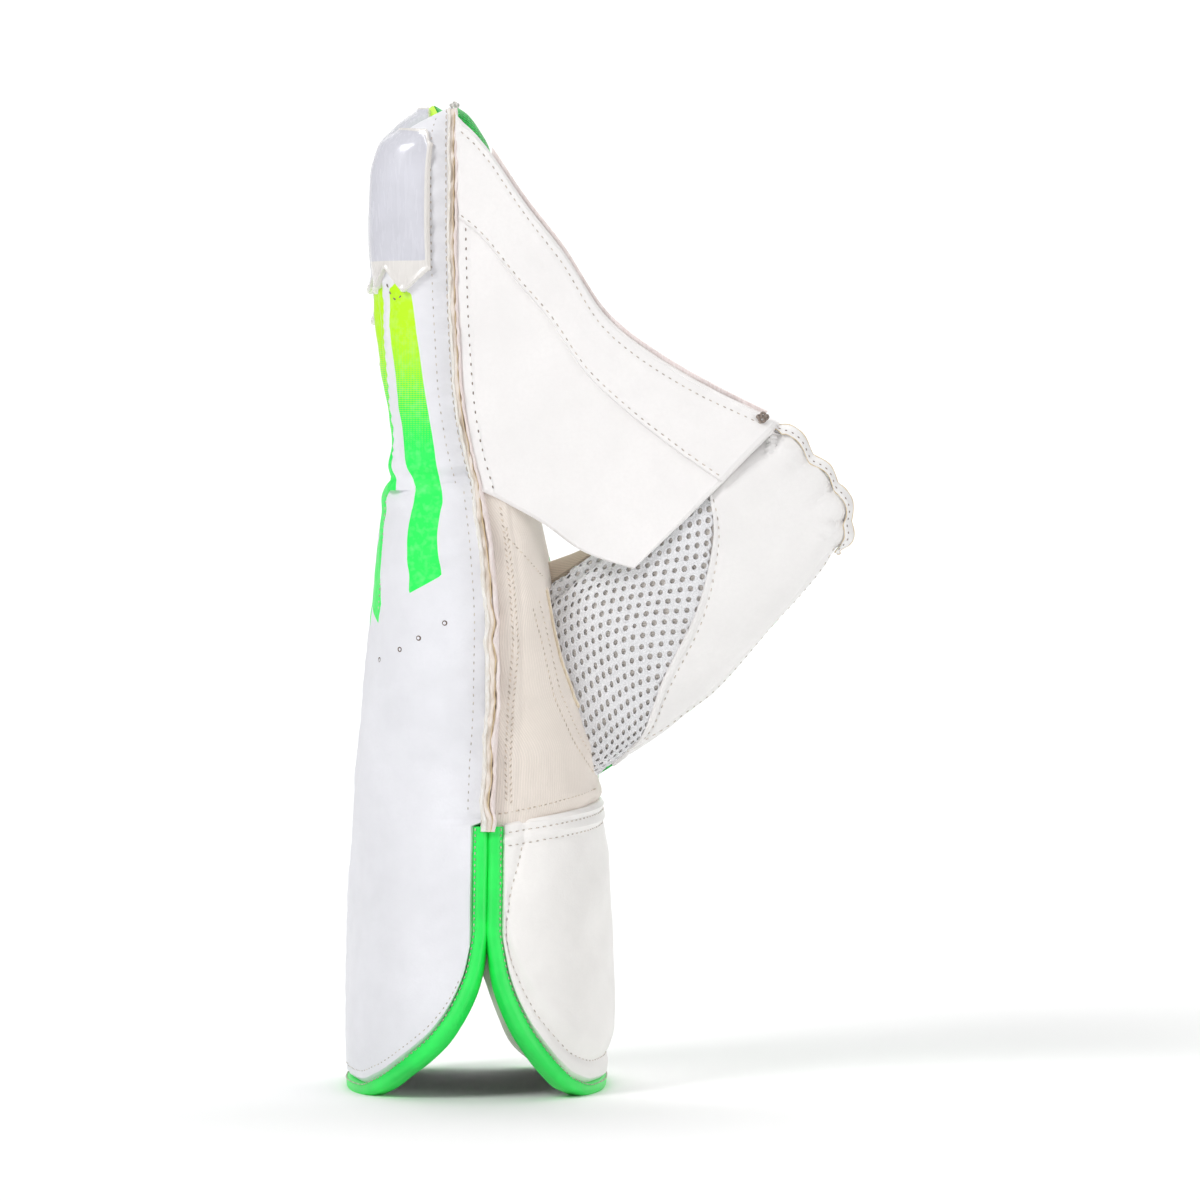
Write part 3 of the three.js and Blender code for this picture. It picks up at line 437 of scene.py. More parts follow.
def eased(line, times):
    """Rounds off a line, with its ends kept."""
    for _ in range(times):
        line[1:-1] = 0.25 * line[:-2] + 0.5 * line[1:-1] + 0.25 * line[2:]
    return line


def unit(v):
    return v / np.maximum(np.linalg.norm(v, axis=-1, keepdims=True), 1e-9)


def normals(p):
    """Directions across a grid of points."""
    n = np.cross(np.gradient(p, axis=1), np.gradient(p, axis=0))
    return unit(n)


def wander(x, seed, step):
    """Slow, even unevenness along a line, from -1 to 1."""
    rng = np.random.default_rng(seed)
    knots = rng.uniform(-1, 1, 400)
    at = np.abs(x) / step
    i = at.astype(int) % 399
    f = at - at.astype(int)
    return mix(knots[i], knots[i + 1], f * f * (3 - 2 * f))


def wrinkle(p, seed, size):
    """Slow unevenness over a surface, from about -1 to 1."""
    rng = np.random.default_rng(seed)
    total = 0
    for k in range(5):
        way = rng.normal(size=3)
        way /= np.linalg.norm(way) * size * rng.uniform(0.7, 1.5)
        total = total + np.sin(2 * np.pi * (p @ way) + rng.uniform(0, 6.28))
    return total / 2.6


def photo_x(px):
    return (px - PHOTO_LEFT) * PHOTO_MM


def photo_z(py):
    return (PHOTO_FOOT - py) * PHOTO_MM


# ---------------------------------------------------------------- meshes


def finish_mesh(name, points, faces, finish=None, uv=None, marks=None):
    """Makes the object in metres, in the frame's own place."""
    mesh = bpy.data.meshes.new(name)
    mesh.from_pydata(((points + SHIFT) * MM).tolist(), [], faces)
    if uv is not None:
        layer = mesh.uv_layers.new(name="cut")
        corner = np.zeros(len(mesh.loops), int)
        mesh.loops.foreach_get("vertex_index", corner)
        layer.data.foreach_set("uv", (uv[corner] * MM * UV_PER_METRE).ravel())
    for key, values in (marks or {}).items():
        layer = mesh.attributes.new(key, "FLOAT", "POINT")
        layer.data.foreach_set("value", np.asarray(values, float).ravel())
    mesh.polygons.foreach_set("use_smooth", [True] * len(mesh.polygons))
    mesh.validate()
    piece = bpy.data.objects.new(name, mesh)
    bpy.context.scene.collection.objects.link(piece)
    if finish:
        mesh.materials.append(FINISHES[finish])
    return piece


def only(*pieces):
    """Selects these pieces alone and makes the first one active."""
    bpy.ops.object.select_all(action="DESELECT")
    for piece in pieces:
        piece.select_set(True)
    bpy.context.view_layer.objects.active = pieces[0]


def weld(piece, distance):
    """Joins points that meet, which closes seams and poles, and turns the faces out."""
    only(piece)
    bpy.ops.object.mode_set(mode="EDIT")
    bpy.ops.mesh.select_all(action="SELECT")
    bpy.ops.mesh.remove_doubles(threshold=distance)
    bpy.ops.mesh.normals_make_consistent(inside=False)
    bpy.ops.object.mode_set(mode="OBJECT")


def tidy(piece, angle=38, merge=1e-6):
    """Closes a piece and shades it smooth where its faces meet at less than the angle."""
    weld(piece, merge)
    bpy.ops.object.shade_smooth_by_angle(angle=math.radians(angle))
    return piece


def cut_out(piece, rings):
    """Cuts the room of a closed form, given by its rings of points, out of a piece."""
    cutter = strip_mesh("room", np.array(rings))
    only(piece)
    cut = piece.modifiers.new("room", "BOOLEAN")
    cut.operation, cut.object, cut.solver = "DIFFERENCE", cutter, "EXACT"
    bpy.ops.object.modifier_apply(modifier="room")
    bpy.data.objects.remove(cutter, do_unlink=True)


def grid_faces(rows, columns, first, flip=False, wrap=False):
    """Quads of a grid of points, rows by columns."""
    i, j = np.meshgrid(np.arange(rows - 1), np.arange(columns if wrap else columns - 1))
    near, far = i.ravel() * columns, (i.ravel() + 1) * columns
    j = j.ravel()
    k = (j + 1) % columns
    quads = np.stack([near + j, near + k, far + k, far + j], 1)
    if flip:
        quads = quads[:, ::-1]
    return (quads + first).tolist()


def repeated(rings, sides, count, closed=True):
    """Faces of a number of like forms, each made of rings of points."""
    one, step = grid_faces(rings, sides, 0, wrap=True), rings * sides
    if closed:
        one += [tuple(range(sides - 1, -1, -1)), tuple(range(step - sides, step))]
    return [tuple(v + step * k for v in face) for k in range(count) for face in one]


def moved(shape, axis, by):
    """The same surface, moved by a distance along an axis."""

    def surface(u, v):
        p = shape(u, v)
        p[..., axis] += by
        return p

    return surface


def finger_surface(k, by):
    return moved(lambda turn, at: stall(k, turn, at), 0, by)


class Cloth:
    """A soft sheet laid over a surface of the glove; its own distances are in mm."""

    def __init__(self, surface, columns, rows, place=None, up=None):
        s, t = np.meshgrid(np.linspace(0, 1, columns + 1), np.linspace(0, 1, rows + 1))
        self.s, self.t = s, t
        self.u, self.v = place(s, t) if place else (s, t)
        self.p = surface(self.u, self.v)
        self.n = normals(self.p)
        if up is not None:
            self.n[-1] = up
            self.n[-2] = unit(self.n[-2] + 0.4 * np.array(up))
        across = np.linalg.norm(np.diff(self.p, axis=1), axis=2)
        along = np.linalg.norm(np.diff(self.p, axis=0), axis=2)
        a = np.concatenate([np.zeros((rows + 1, 1)), np.cumsum(across, 1)], 1)
        b = np.concatenate([np.zeros((1, columns + 1)), np.cumsum(along, 0)], 0)
        self.a, self.b = a - a[:, columns // 2 : columns // 2 + 1], b
        self.left, self.right = a, a[:, -1:] - a
        self.low, self.high = b, b[-1:] - b
        cell = 0.5 * (across[1:] + across[:-1]) * 0.5 * (along[:, 1:] + along[:, :-1])
        self.area = float(cell.sum()) * MM * MM
        self.width = float(a[:, -1].max()) * MM
        self.length = float(b[-1].max()) * MM

    def edge(self, *sides):
        """Distance to the nearest of the named sides."""
        return np.minimum.reduce([getattr(self, side) for side in sides])

    def rounded(self, radius, *sides):
        """Drop of a rounded edge, from -radius at the side to 0."""
        d = np.clip(self.edge(*(sides or ALL_SIDES)), 0, radius)
        return np.sqrt(np.maximum(radius**2 - (radius - d) ** 2, 0)) - radius

    def uneven(self, *layers):
        """Sum of slow waves, each given by its height, seed and size."""
        return sum(height * wrinkle(self.p, seed, size) for height, seed, size in layers)

    def make(self, name, relief, thickness, finish, marks=None):
        """The sheet as a closed piece, with the relief on its outer face."""
        outer = self.p + self.n * np.asarray(relief)[..., None]
        inner = self.p + self.n * (np.minimum(relief, INNER_RELIEF) - thickness)[..., None]
        rows, columns = self.s.shape
        count = rows * columns
        points = np.concatenate([outer.reshape(-1, 3), inner.reshape(-1, 3)])
        faces = grid_faces(rows, columns, 0) + grid_faces(rows, columns, count, True)
        ring = list(range(columns))
        ring += [i * columns + columns - 1 for i in range(1, rows)]
        ring += [(rows - 1) * columns + j for j in range(columns - 2, -1, -1)]
        ring += [i * columns for i in range(rows - 2, 0, -1)]
        for a, b in zip(ring, ring[1:] + ring[:1]):
            faces.append((a, a + count, b + count, b))
        uv = np.stack([self.a, self.b], -1).reshape(-1, 2)
        full = {key: np.concatenate([np.ravel(v)] * 2) for key, v in (marks or {}).items()}
        return tidy(finish_mesh(name, points, faces, finish, np.concatenate([uv, uv]), full))

    def sample(self, s, t, relief, lift=0.0):
        """Points at shares of the sheet, on top of its relief, and their directions."""
        rows, columns = self.s.shape
        x, y = np.clip(s, 0, 1) * (columns - 1), np.clip(t, 0, 1) * (rows - 1)
        j = np.clip(np.asarray(x).astype(int), 0, columns - 2)
        i = np.clip(np.asarray(y).astype(int), 0, rows - 2)
        f, g = (x - j)[..., None], (y - i)[..., None]

        def blend(a):
            return mix(mix(a[i, j], a[i, j + 1], f), mix(a[i + 1, j], a[i + 1, j + 1], f), g)

        n = unit(blend(self.n))
        return blend(self.p) + n * (lift + blend(np.asarray(relief)[..., None])), n

    def width_at(self, t):
        return np.interp(t, self.t[:, 0], self.left[:, -1])

    def height_at(self, s):
        return np.interp(s, self.s[0], self.low[-1])


def strip_mesh(name, sections, finish=None, angle=50):
    """Closed section carried along a line; sections holds its rings of points."""
    count, sides = sections.shape[:2]
    faces = grid_faces(count, sides, 0, wrap=True)
    faces.append(tuple(range(sides)))
    faces.append(tuple((count - 1) * sides + j for j in range(sides - 1, -1, -1)))
    turn = np.linspace(0, 1, sides) * 10
    uv = np.broadcast_arrays(turn[None, :], distances(sections[:, 0])[:, None])
    uv = np.stack(uv, -1).reshape(-1, 2)
    return tidy(finish_mesh(name, sections.reshape(-1, 3), faces, finish, uv), angle)


def round_section(half_wide, half_high, corner, sides):
    a = np.linspace(0, 2 * np.pi, sides, endpoint=False)
    c, s = np.cos(a), np.sin(a)
    r = (np.abs(c) ** corner + np.abs(s) ** corner) ** (-1 / corner)
    return r * c * half_wide, r * s * half_high


def carried(line, out, flat, wide, high):
    """Sections along a line: wide and high are rings of offsets, the same or one a point."""
    wide = np.broadcast_to(wide, (len(line), np.shape(wide)[-1]))
    high = np.broadcast_to(high, (len(line), np.shape(high)[-1]))
    return line[:, None] + flat[:, None] * wide[..., None] + out[:, None] * high[..., None]


STITCHES = {}


def stitch(group, line, pitch, length, radius, sink, seed, lean=0.0):
    """Lays thread stitches along a line, which is its points and their directions."""
    p, n = line
    run = distances(p)
    if run[-1] < pitch:
        return
    at = np.arange(pitch / 2, run[-1] - pitch / 3, pitch)
    place, face = points_at(p, run, at), unit(points_at(n, run, at))
    way = unit(points_at(p, run, at + 0.4) - place)
    side = unit(np.cross(face, way))
    rng = np.random.default_rng(seed)
    half = pitch * length / 2 * rng.uniform(0.9, 1.08, len(at))
    way = unit(way + side * (rng.normal(0, 0.05, len(at)) + lean)[:, None])
    rings = []
    for share, size in ((-1, 0.25), (-0.72, 0.85), (0, 1.05), (0.72, 0.85), (1, 0.25)):
        dip = -abs(share) ** 2.5 * radius * 0.9
        middle = place + way * (half * share)[:, None] + face * (radius * 0.35 - sink + dip)
        turns = [k * math.pi / 3 for k in range(STITCH_SIDES)]
        ring = [middle + (side * math.cos(a) + face * math.sin(a)) * radius * size for a in turns]
        rings.append(np.stack(ring, 1))
    STITCHES.setdefault(group, []).append(np.stack(rings, 1))


def sew(group, name, finish, slot):
    """Makes one piece of all the stitches laid in a group."""
    sets = np.concatenate(STITCHES.pop(group))
    points, faces = sets.reshape(-1, 3), repeated(STITCH_RINGS, STITCH_SIDES, len(sets))
    piece = finish_mesh(name, points, faces, finish, np.zeros((len(points), 2)))
    return ready(tidy(piece, 80, 1e-8), slot)


def ready(piece, slot, *nodes):
    """The piece rides on the one body and stands for the named nodes, which are hidden; the slot is
    not used.
    """
    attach(piece, "root")
    if nodes:
        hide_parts(*nodes)
    return piece


def declare(cloth):
    """Works out the size the sheet was cut to and its area, and does nothing further with them."""
    flat = (cloth.width, cloth.length)
    area = min(cloth.area, flat[0] * flat[1])


# ---------------------------------------------------------------- finishes


def linear(colour):
    """Linear values of a colour given as it shows on a screen."""
    c = np.asarray(colour, float)
    return tuple(np.where(c <= 0.04045, c / 12.92, ((c + 0.055) / 1.055) ** 2.4)) + (1.0,)


def shade(colour, by):
    return tuple(min(1.0, c * by) for c in colour)


class Finish:
    """A material being built of nodes."""

    def __init__(self, name, **sockets):
        self.material = bpy.data.materials.new(name)
        self.material.use_nodes = True
        self.tree = self.material.node_tree
        self.tree.nodes.clear()
        out = self.tree.nodes.new("ShaderNodeOutputMaterial")
        named = {key.replace("_", " "): value for key, value in sockets.items()}
        self.shader = self.add("ShaderNodeBsdfPrincipled", named)
        self.tree.links.new(self.shader.outputs[0], out.inputs[0])

    def add(self, kind, inputs=None, **props):
        node = self.tree.nodes.new(kind)
        for key, value in props.items():
            setattr(node, key, value)
        for key, value in (inputs or {}).items():
            if isinstance(value, bpy.types.NodeSocket):
                self.tree.links.new(value, node.inputs[key])
            else:
                node.inputs[key].default_value = value
        return node

    def set(self, key, value):
        self.tree.links.new(value, self.shader.inputs[key])

    def place(self):
        return self.add("ShaderNodeTexCoord").outputs["Object"]

    def cut(self):
        return self.add("ShaderNodeUVMap", uv_map="cut").outputs[0]

    def mark(self, name):
        return self.add("ShaderNodeAttribute", attribute_name=name).outputs["Fac"]

    def math(self, kind, a, b=0.0):
        return self.add("ShaderNodeMath", {0: a, 1: b}, operation=kind).outputs[0]

    def vector(self, kind, a, b=None):
        inputs = {0: a} if b is None else {0: a, 1: b}
        node = self.add("ShaderNodeVectorMath", inputs, operation=kind)
        return node.outputs["Value" if kind == "DISTANCE" else "Vector"]

    def stretched(self, vector, scale):
        return self.add("ShaderNodeMapping", {"Vector": vector, "Scale": scale}).outputs[0]

    def noise(self, vector, scale, detail=2.0, rough=0.5):
        sockets = {"Vector": vector, "Scale": scale, "Detail": detail, "Roughness": rough}
        return self.add("ShaderNodeTexNoise", sockets).outputs["Fac"]

    def cells(self, vector, scale):
        node = self.add("ShaderNodeTexVoronoi", {"Vector": vector, "Scale": scale})
        return node.outputs["Distance"]

    def waves(self, vector, scale, turn, distort):
        turned = self.add("ShaderNodeMapping", {"Vector": vector, "Rotation": turn}).outputs[0]
        sockets = {"Vector": turned, "Scale": scale, "Distortion": distort, "Detail": 1.0}
        return self.add("ShaderNodeTexWave", sockets).outputs["Fac"]

    def between(self, value, low, high, to_low=0.0, to_high=1.0):
        sockets = {0: value, 1: low, 2: high, 3: to_low, 4: to_high}
        return self.add("ShaderNodeMapRange", sockets, clamp=True).outputs[0]

    def blend(self, fac, a, b):
        return self.add("ShaderNodeMix", {0: fac, 6: a, 7: b}, data_type="RGBA").outputs[2]

    def shaded(self, value, low, high, colour, dark):
        """The colour, darker where the value is low."""
        share = self.between(value, low, high)
        return self.blend(share, linear(shade(colour, dark)), linear(colour))

    def lattice(self, vector):
        """Distances to the centres of two square lattices, a half step apart."""
        found = []
        for move in (0.0, 0.5):
            share = self.vector("FRACTION", self.vector("ADD", vector, (move, move, 0.0)))
            found.append(self.vector("DISTANCE", share, (0.5, 0.5, 0.0)))
        return found

    def bump(self, height, distance, strength=1.0, before=None):
        sockets = {"Height": height, "Distance": distance, "Strength": strength}
        if before is not None:
            sockets["Normal"] = before
        return self.add("ShaderNodeBump", sockets).outputs[0]


def leather(name, colour, rough, soft=0.00025, soiled=0.05, printed=None):
    """Fine-grained leather: pores, soft creases, uneven tone, and print where asked."""
    f = Finish(name, Roughness=rough, IOR=1.45, Coat_Weight=0.06, Coat_Roughness=0.5)
    at = f.place()
    base = f.shaded(f.noise(at, 38.0, 3.0, 0.6), 0.3, 0.75, colour, 1 - soiled)
    fine = f.between(f.noise(at, 900.0), 0.35, 0.7, 0.0, 0.35)
    base = f.blend(fine, base, linear(shade(colour, 0.965)))
    if printed:
        base = print_over(f, at, base, printed)
    f.set("Base Color", base)
    f.set("Roughness", f.between(f.noise(at, 120.0), 0.3, 0.7, rough - 0.07, rough + 0.08))
    normal = f.bump(f.noise(at, 52.0, 2.0, 0.55), 0.0014, 0.55)
    normal = f.bump(f.noise(at, 220.0, 3.0, 0.6), soft, 0.5, normal)
    normal = f.bump(f.cells(f.stretched(at, (1.0, 1.0, 0.55)), 260.0), 0.00008, 0.35, normal)
    f.set("Normal", f.bump(f.cells(at, 1300.0), PORES, 0.6, normal))
    return f.material


def print_over(f, at, base, printed):
    """Stripes in lime that turn to green through a fine halftone towards the hand."""
    lime, green = printed
    part = f.add("ShaderNodeSeparateXYZ", {0: at})
    fade = f.between(part.outputs[2], photo_z(FADE_ROWS[0]) * MM, photo_z(FADE_ROWS[1]) * MM)
    rows, columns = (
        f.math("SINE", f.math("MULTIPLY", part.outputs[axis], 2 * math.pi / pitch))
        for axis, pitch in ((2, HALFTONE[0]), (0, HALFTONE[1]))
    )
    dots = f.math("MULTIPLY", f.math("ADD", rows, f.math("MULTIPLY", columns, 0.5)), 0.17)
    ink = f.blend(f.between(f.math("ADD", fade, dots), 0.3, 0.7), linear(green), linear(lime))
    ink = f.blend(f.between(f.noise(at, 500.0), 0.45, 0.8, 0.0, 0.12), ink, base)
    return f.blend(f.between(f.mark("stripe"), -0.06, 0.06), base, ink)


def rubber(name, colour, pimples=False):
    """Soft rubber with a grainy skin, and rows of pimples where asked, with painted shade in the
    grooves between them.
    """
    f = Finish(name, Roughness=0.42, IOR=1.5, Coat_Weight=0.12, Coat_Roughness=0.3)
    at = f.place()
    tone = f.noise(at, 60.0, 3.0, 0.6)
    base = f.shaded(tone, 0.3, 0.75, colour, 0.9)
    normal = f.bump(f.noise(at, 300.0, 3.0, 0.6), 0.00015, 0.4)
    if pimples:
        cut = {0: f.cut(), "Scale": PIMPLES}
        steps_over = f.add("ShaderNodeVectorMath", cut, operation="SCALE").outputs[0]
        knob = f.between(f.math("MINIMUM", *f.lattice(steps_over)), 0.16, 0.34, 1.0, 0.0)
        # painted shade: the rubber is darker in the grooves between the pimples
        base = f.blend(f.between(knob, 0.0, 1.0, 0.75, 0.0), base, linear(shade(colour, 0.7)))
        normal = f.bump(knob, 0.0009, 1.0, normal)
    f.set("Base Color", base)
    f.set("Normal", f.bump(f.noise(at, 1500.0), 0.00004, 0.5, normal))
    f.set("Roughness", f.between(tone, 0.3, 0.7, 0.36, 0.5))
    return f.material




def cloth_rib(name, colour, pitch, slope, dark=0.86):
    """Ribbed cotton: a fine twill line across, thread noise and uneven tone."""
    f = Finish(name, Roughness=0.85, Sheen_Weight=0.15, Sheen_Roughness=0.5)
    at, cut = f.place(), f.cut()
    rib = f.waves(cut, WAVE / (pitch / 100), (0, 0, slope), 0.6)
    weft = f.waves(cut, WAVE / (pitch / 230), (0, 0, slope + 1.45), 0.8)
    thread = f.math("ADD", f.math("MULTIPLY", rib, 0.7), f.math("MULTIPLY", weft, 0.3))
    base = f.shaded(f.noise(at, 45.0, 3.0, 0.6), 0.3, 0.75, colour, 0.93)
    base = f.blend(f.between(thread, 0.15, 0.7, 1.0, 0.0), base, linear(shade(colour, dark)))
    f.set("Base Color", base)
    normal = f.bump(f.noise(at, 180.0, 3.0, 0.6), 0.0003, 0.5)
    f.set("Normal", f.bump(thread, 0.0001, 0.7, normal))
    return f.material


def raw(name, colour, other):
    """Cut edge of leather and felt, fibrous and uneven."""
    f = Finish(name, Roughness=0.85, Sheen_Weight=0.1)
    long = f.stretched(f.place(), (3.0, 3.0, 0.6))
    tone = f.between(f.noise(long, 420.0, 4.0, 0.7), 0.35, 0.68)
    f.set("Base Color", f.blend(tone, linear(other), linear(colour)))
    f.set("Normal", f.bump(f.noise(long, 1100.0, 3.0, 0.7), 0.00018, 0.8))
    return f.material


def thread(name, colour):
    """Twisted thread."""
    f = Finish(name, Roughness=0.6, Sheen_Weight=0.2)
    ply = f.waves(f.place(), 260.0, (0.6, 0.4, 0.2), 2.0)
    f.set("Base Color", f.shaded(ply, 0.2, 0.8, colour, 0.82))
    f.set("Normal", f.bump(ply, 0.00006, 0.7))
    return f.material


def clear_plastic(name, colour, rim):
    """Clear, slightly hazy and scuffed plastic with a closed rim."""
    f = Finish(name, Roughness=0.24, IOR=1.49, Coat_Weight=0.5, Coat_Roughness=0.12)
    at = f.place()
    body_colour = f.shaded(f.noise(at, 70.0, 3.0, 0.6), 0.3, 0.75, colour, 0.95)
    edge = f.mark("rim")
    f.set("Base Color", f.blend(f.between(edge, -0.1, 0.1), body_colour, linear(rim)))
    f.set("Alpha", f.between(edge, -0.1, 0.1, 0.86, 1.0))
    scuff = f.noise(f.stretched(at, (1, 1, 0.12)), 900.0)
    f.set("Roughness", f.between(scuff, 0.4, 0.7, 0.2, 0.34))
    f.set("Normal", f.bump(f.noise(at, 60.0), 0.0006, 0.35))
    return f.material


def yarn(name, colour):
    """Fuzzy yarn of the airy mesh."""
    f = Finish(name, Roughness=0.8, Sheen_Weight=0.2, Sheen_Roughness=0.4)
    at = f.place()
    fibre = f.noise(at, 2600.0)
    base = f.shaded(fibre, 0.3, 0.7, colour, 0.86)
    tone = f.between(f.noise(at, 90.0), 0.3, 0.7, 0.0, 0.25)
    f.set("Base Color", f.blend(tone, base, linear(shade(colour, 0.93))))
    f.set("Normal", f.bump(fibre, 0.00009, 0.9))
    return f.material


FINISHES = {}


def make_finishes(c):
    """All the finishes, from the colours of the panel."""
    white, warm, off = tuple(c.back), tuple(c.web), tuple(c.cuff)
    green, lime, beige = tuple(c.green), tuple(c.lime), tuple(c.gusset)
    F = FINISHES
    F["back"] = leather("back leather", white, 0.5, printed=(lime, green))
    F["web"] = leather("web leather", warm, 0.55, 0.0002, 0.03)
    F["thumb"] = leather("thumb leather", (0.94, 0.932, 0.928), 0.5, 0.0003, 0.03)
    F["cuff"] = leather("cuff leather", off, 0.52, 0.0003, 0.04)
    F["palm"] = rubber("pimpled rubber", green, True)
    F["binding"] = rubber("binding rubber", green)
    F["crotch"] = cloth_rib("crotch twill", (0.87, 0.8, 0.73), 0.9, 0.2)
    F["gusset"] = cloth_rib("gusset twill", beige, 0.85, 0.08, 0.93)
    F["lining"] = cloth_rib("cuff lining", (0.905, 0.875, 0.85), 0.8, 1.57, 0.84)
    F["mesh_back"] = cloth_rib("mesh backing", (0.975, 0.945, 0.915), 0.6, 0.6, 0.9)
    F["mesh"] = yarn("mesh yarn", (0.95, 0.95, 0.96))
    F["clear"] = clear_plastic("clear guard", (0.905, 0.905, 0.94), (0.9, 0.885, 0.87))
    for key, name, colour, other in (
        ("edge_white", "cut leather edge", (0.955, 0.95, 0.94), (0.88, 0.85, 0.81)),
        ("edge_beige", "cut felt edge", (0.955, 0.925, 0.9), (0.885, 0.835, 0.79)),
        ("edge_pink", "cut foam edge", (0.955, 0.92, 0.91), (0.89, 0.83, 0.815)),
        ("edge_cream", "waxed cloth edge", (0.93, 0.885, 0.8), (0.85, 0.785, 0.68)),
        ("edge_ochre", "waxed edge", (0.9, 0.83, 0.68), (0.8, 0.7, 0.54)),
    ):
        F[key] = raw(name, colour, other)
    for key, name, colour in (
        ("thread", "white thread", (0.88, 0.87, 0.85)),
        ("thread_beige", "beige thread", (0.82, 0.775, 0.73)),
        ("thread_gusset", "gusset thread", (0.85, 0.79, 0.72)),
        ("thread_dark", "shaded thread", (0.56, 0.5, 0.46)),
        # painted shade: the dark brown of the punched holes stands in for the shade inside them
        ("hole", "punched hole", (0.36, 0.23, 0.13)),
    ):
        F[key] = thread(name, colour)


# ---------------------------------------------------------------- stripes on the back

# Edges of the printed stripes as seen from the thumb side: photo row, left and right column
STRIPE = np.array([
    (283, 389.5, 410.0),
    (297, 390.7, 413.3),
    (347, 394.0, 420.0),
    (397, 399.3, 427.3),
    (443, 405.0, 435.0),
    (466, 408.6, 438.4),
    (480, 414.0, 440.8),
    (490, 417.4, 443.4),
    (500, 416.2, 444.2),
    (512, 412.3, 441.5),
    (537, 408.3, 438.3),
    (573, 410.0, 442.3),
    (592, 410.5, 443.2),
])
# How far the padding of a finger's back swells, in mm, by share of its length
SWELL = np.array([
    (0.13, 0.0), (0.215, 1.1), (0.28, 1.3), (0.45, 2.1), (0.5, 1.8), (0.53, 0.9), (0.57, 0.0),
])
# Turn of the puckered seam up the index finger, by share of its length
PUCKER = np.array([(0.0, 0.46), (0.05, 0.37), (0.1, 0.3), (0.25, 0.31), (0.5, 0.35), (0.62, 0.38)])
# The same seam on the hand, turn by height, and the far edge of the stripe beside it
HAND_SEAM = np.array([
    (143, 0.16),
    (147.5, 0.3),
    (153, 0.376),
    (160, 0.405),
    (180, 0.405),
    (190, 0.42),
    (196, 0.46),
])
HAND_FAR = np.array([(147, -19.0), (165, -20.0), (180, -23.0), (196, -30.0)])
STRIPE_HALF = 5.4


def near_stripe(p, y_middle):
    """Distance into the stripe on the thumb side, below 0 outside it."""
    px = p[..., 0] / PHOTO_MM + PHOTO_LEFT
    py = PHOTO_FOOT - p[..., 2] / PHOTO_MM
    foot = mix(592.5, 574.0, np.clip((px - 410) / 33, 0, 1))
    crown = 283 + 8 * np.abs(np.clip((px - 398) / 9, -1.4, 1.4))
    sides = px - smooth(STRIPE, py), smooth(STRIPE, py, 2) - px
    inside = np.minimum.reduce([*sides, foot - py, py - crown]) * PHOTO_MM
    return np.where(p[..., 1] < y_middle, inside, AWAY)


def traced(sheet, relief, points, pitch=0.8):
    """A line on the sheet through what shows at columns and rows of the photograph."""
    s, t = np.meshgrid(np.linspace(0, 1, 260), np.linspace(0, 1, 340))
    p, n = sheet.sample(s.ravel(), t.ravel(), relief)
    seen = n[:, 1] < 0.1
    p, n = p[seen], n[seen]
    flat = np.array([(photo_x(px), 0.0, photo_z(py)) for px, py in points])
    flat = even(flat, pitch) if len(flat) > 1 else flat
    best = [int(np.argmin((p[:, 0] - x) ** 2 + (p[:, 2] - z) ** 2)) for x, _, z in flat]
    times = 4 if len(best) > 3 else 0
    return eased(p[best], times), unit(eased(n[best], times))


# ---------------------------------------------------------------- sizes and colours


class GloveSizes(bpy.types.PropertyGroup):
    fineness: FloatProperty(
        name="Grid", description="Distance between points of the leather", default=0.0012,
        min=0.0008, max=0.004, unit="LENGTH",
    )
    stitch_pitch: FloatProperty(
        name="Stitch pitch", description="Distance between two stitches of a seam",
        default=0.0026, min=0.001, max=0.006, unit="LENGTH",
    )
    mesh_pitch: FloatProperty(
        name="Mesh pitch", description="Distance between two holes of the airy mesh",
        default=0.0032, min=0.002, max=0.006, unit="LENGTH",
    )
    ruffle_height: FloatProperty(
        name="Ruffle height", description="Of the folds round the tip of the thumb",
        default=0.0018, min=0.0, max=0.005, unit="LENGTH",
    )
    camera_distance: FloatProperty(
        name="Camera distance", description="From the camera to the glove", default=2.3,
        min=1.0, max=6.0, unit="LENGTH",
    )


def colour_property(name, text, value):
    return FloatVectorProperty(
        name=name, description=text, default=value, size=3, min=0, max=1, subtype="COLOR_GAMMA"
    )


class GloveColours(bpy.types.PropertyGroup):
    back: colour_property("Back", "Leather of the back, as seen on a screen", (0.935, 0.935, 0.955))
    web: colour_property("Web", "Leather of the web", (0.965, 0.955, 0.952))
    cuff: colour_property("Cuff", "Leather of the palm-side cuff", (0.965, 0.955, 0.945))
    gusset: colour_property("Gusset", "Cotton of the gusset", (0.95, 0.91, 0.872))
    green: colour_property("Green", "Rubber and lower stripes", (0.13, 0.97, 0.37))
    lime: colour_property("Lime", "Upper stripes", (0.75, 0.97, 0.01))


def sizes():
    return bpy.context.scene.glove_sizes


def steps(millimetres):
    """Number of grid steps for a length."""
    return max(4, int(round(millimetres * MM / sizes().fineness)))


class GlovePiece:
    """What the operators share."""

    bl_options = {"REGISTER", "UNDO"}

    def execute(self, context):
        if not FINISHES:
            make_finishes(context.scene.glove_colours)
        self.build()
        return {"FINISHED"}


# ---------------------------------------------------------------- back


def stall_at(t):
    """Finger length shares with rows closer at the rounded tip."""
    return np.interp(t, [0, 0.02, 0.72, 0.86, 0.95, 1], [-0.022, 0, 0.82, 0.93, 0.98, 1])


def crease(z):
    """Fold where the fingers bend from the hand."""
    return -1.3 * hump(z, 197.5, 2.0) + 0.7 * hump(z, 202.5, 3.2) + 0.9 * hump(z, 191.5, 3.4)


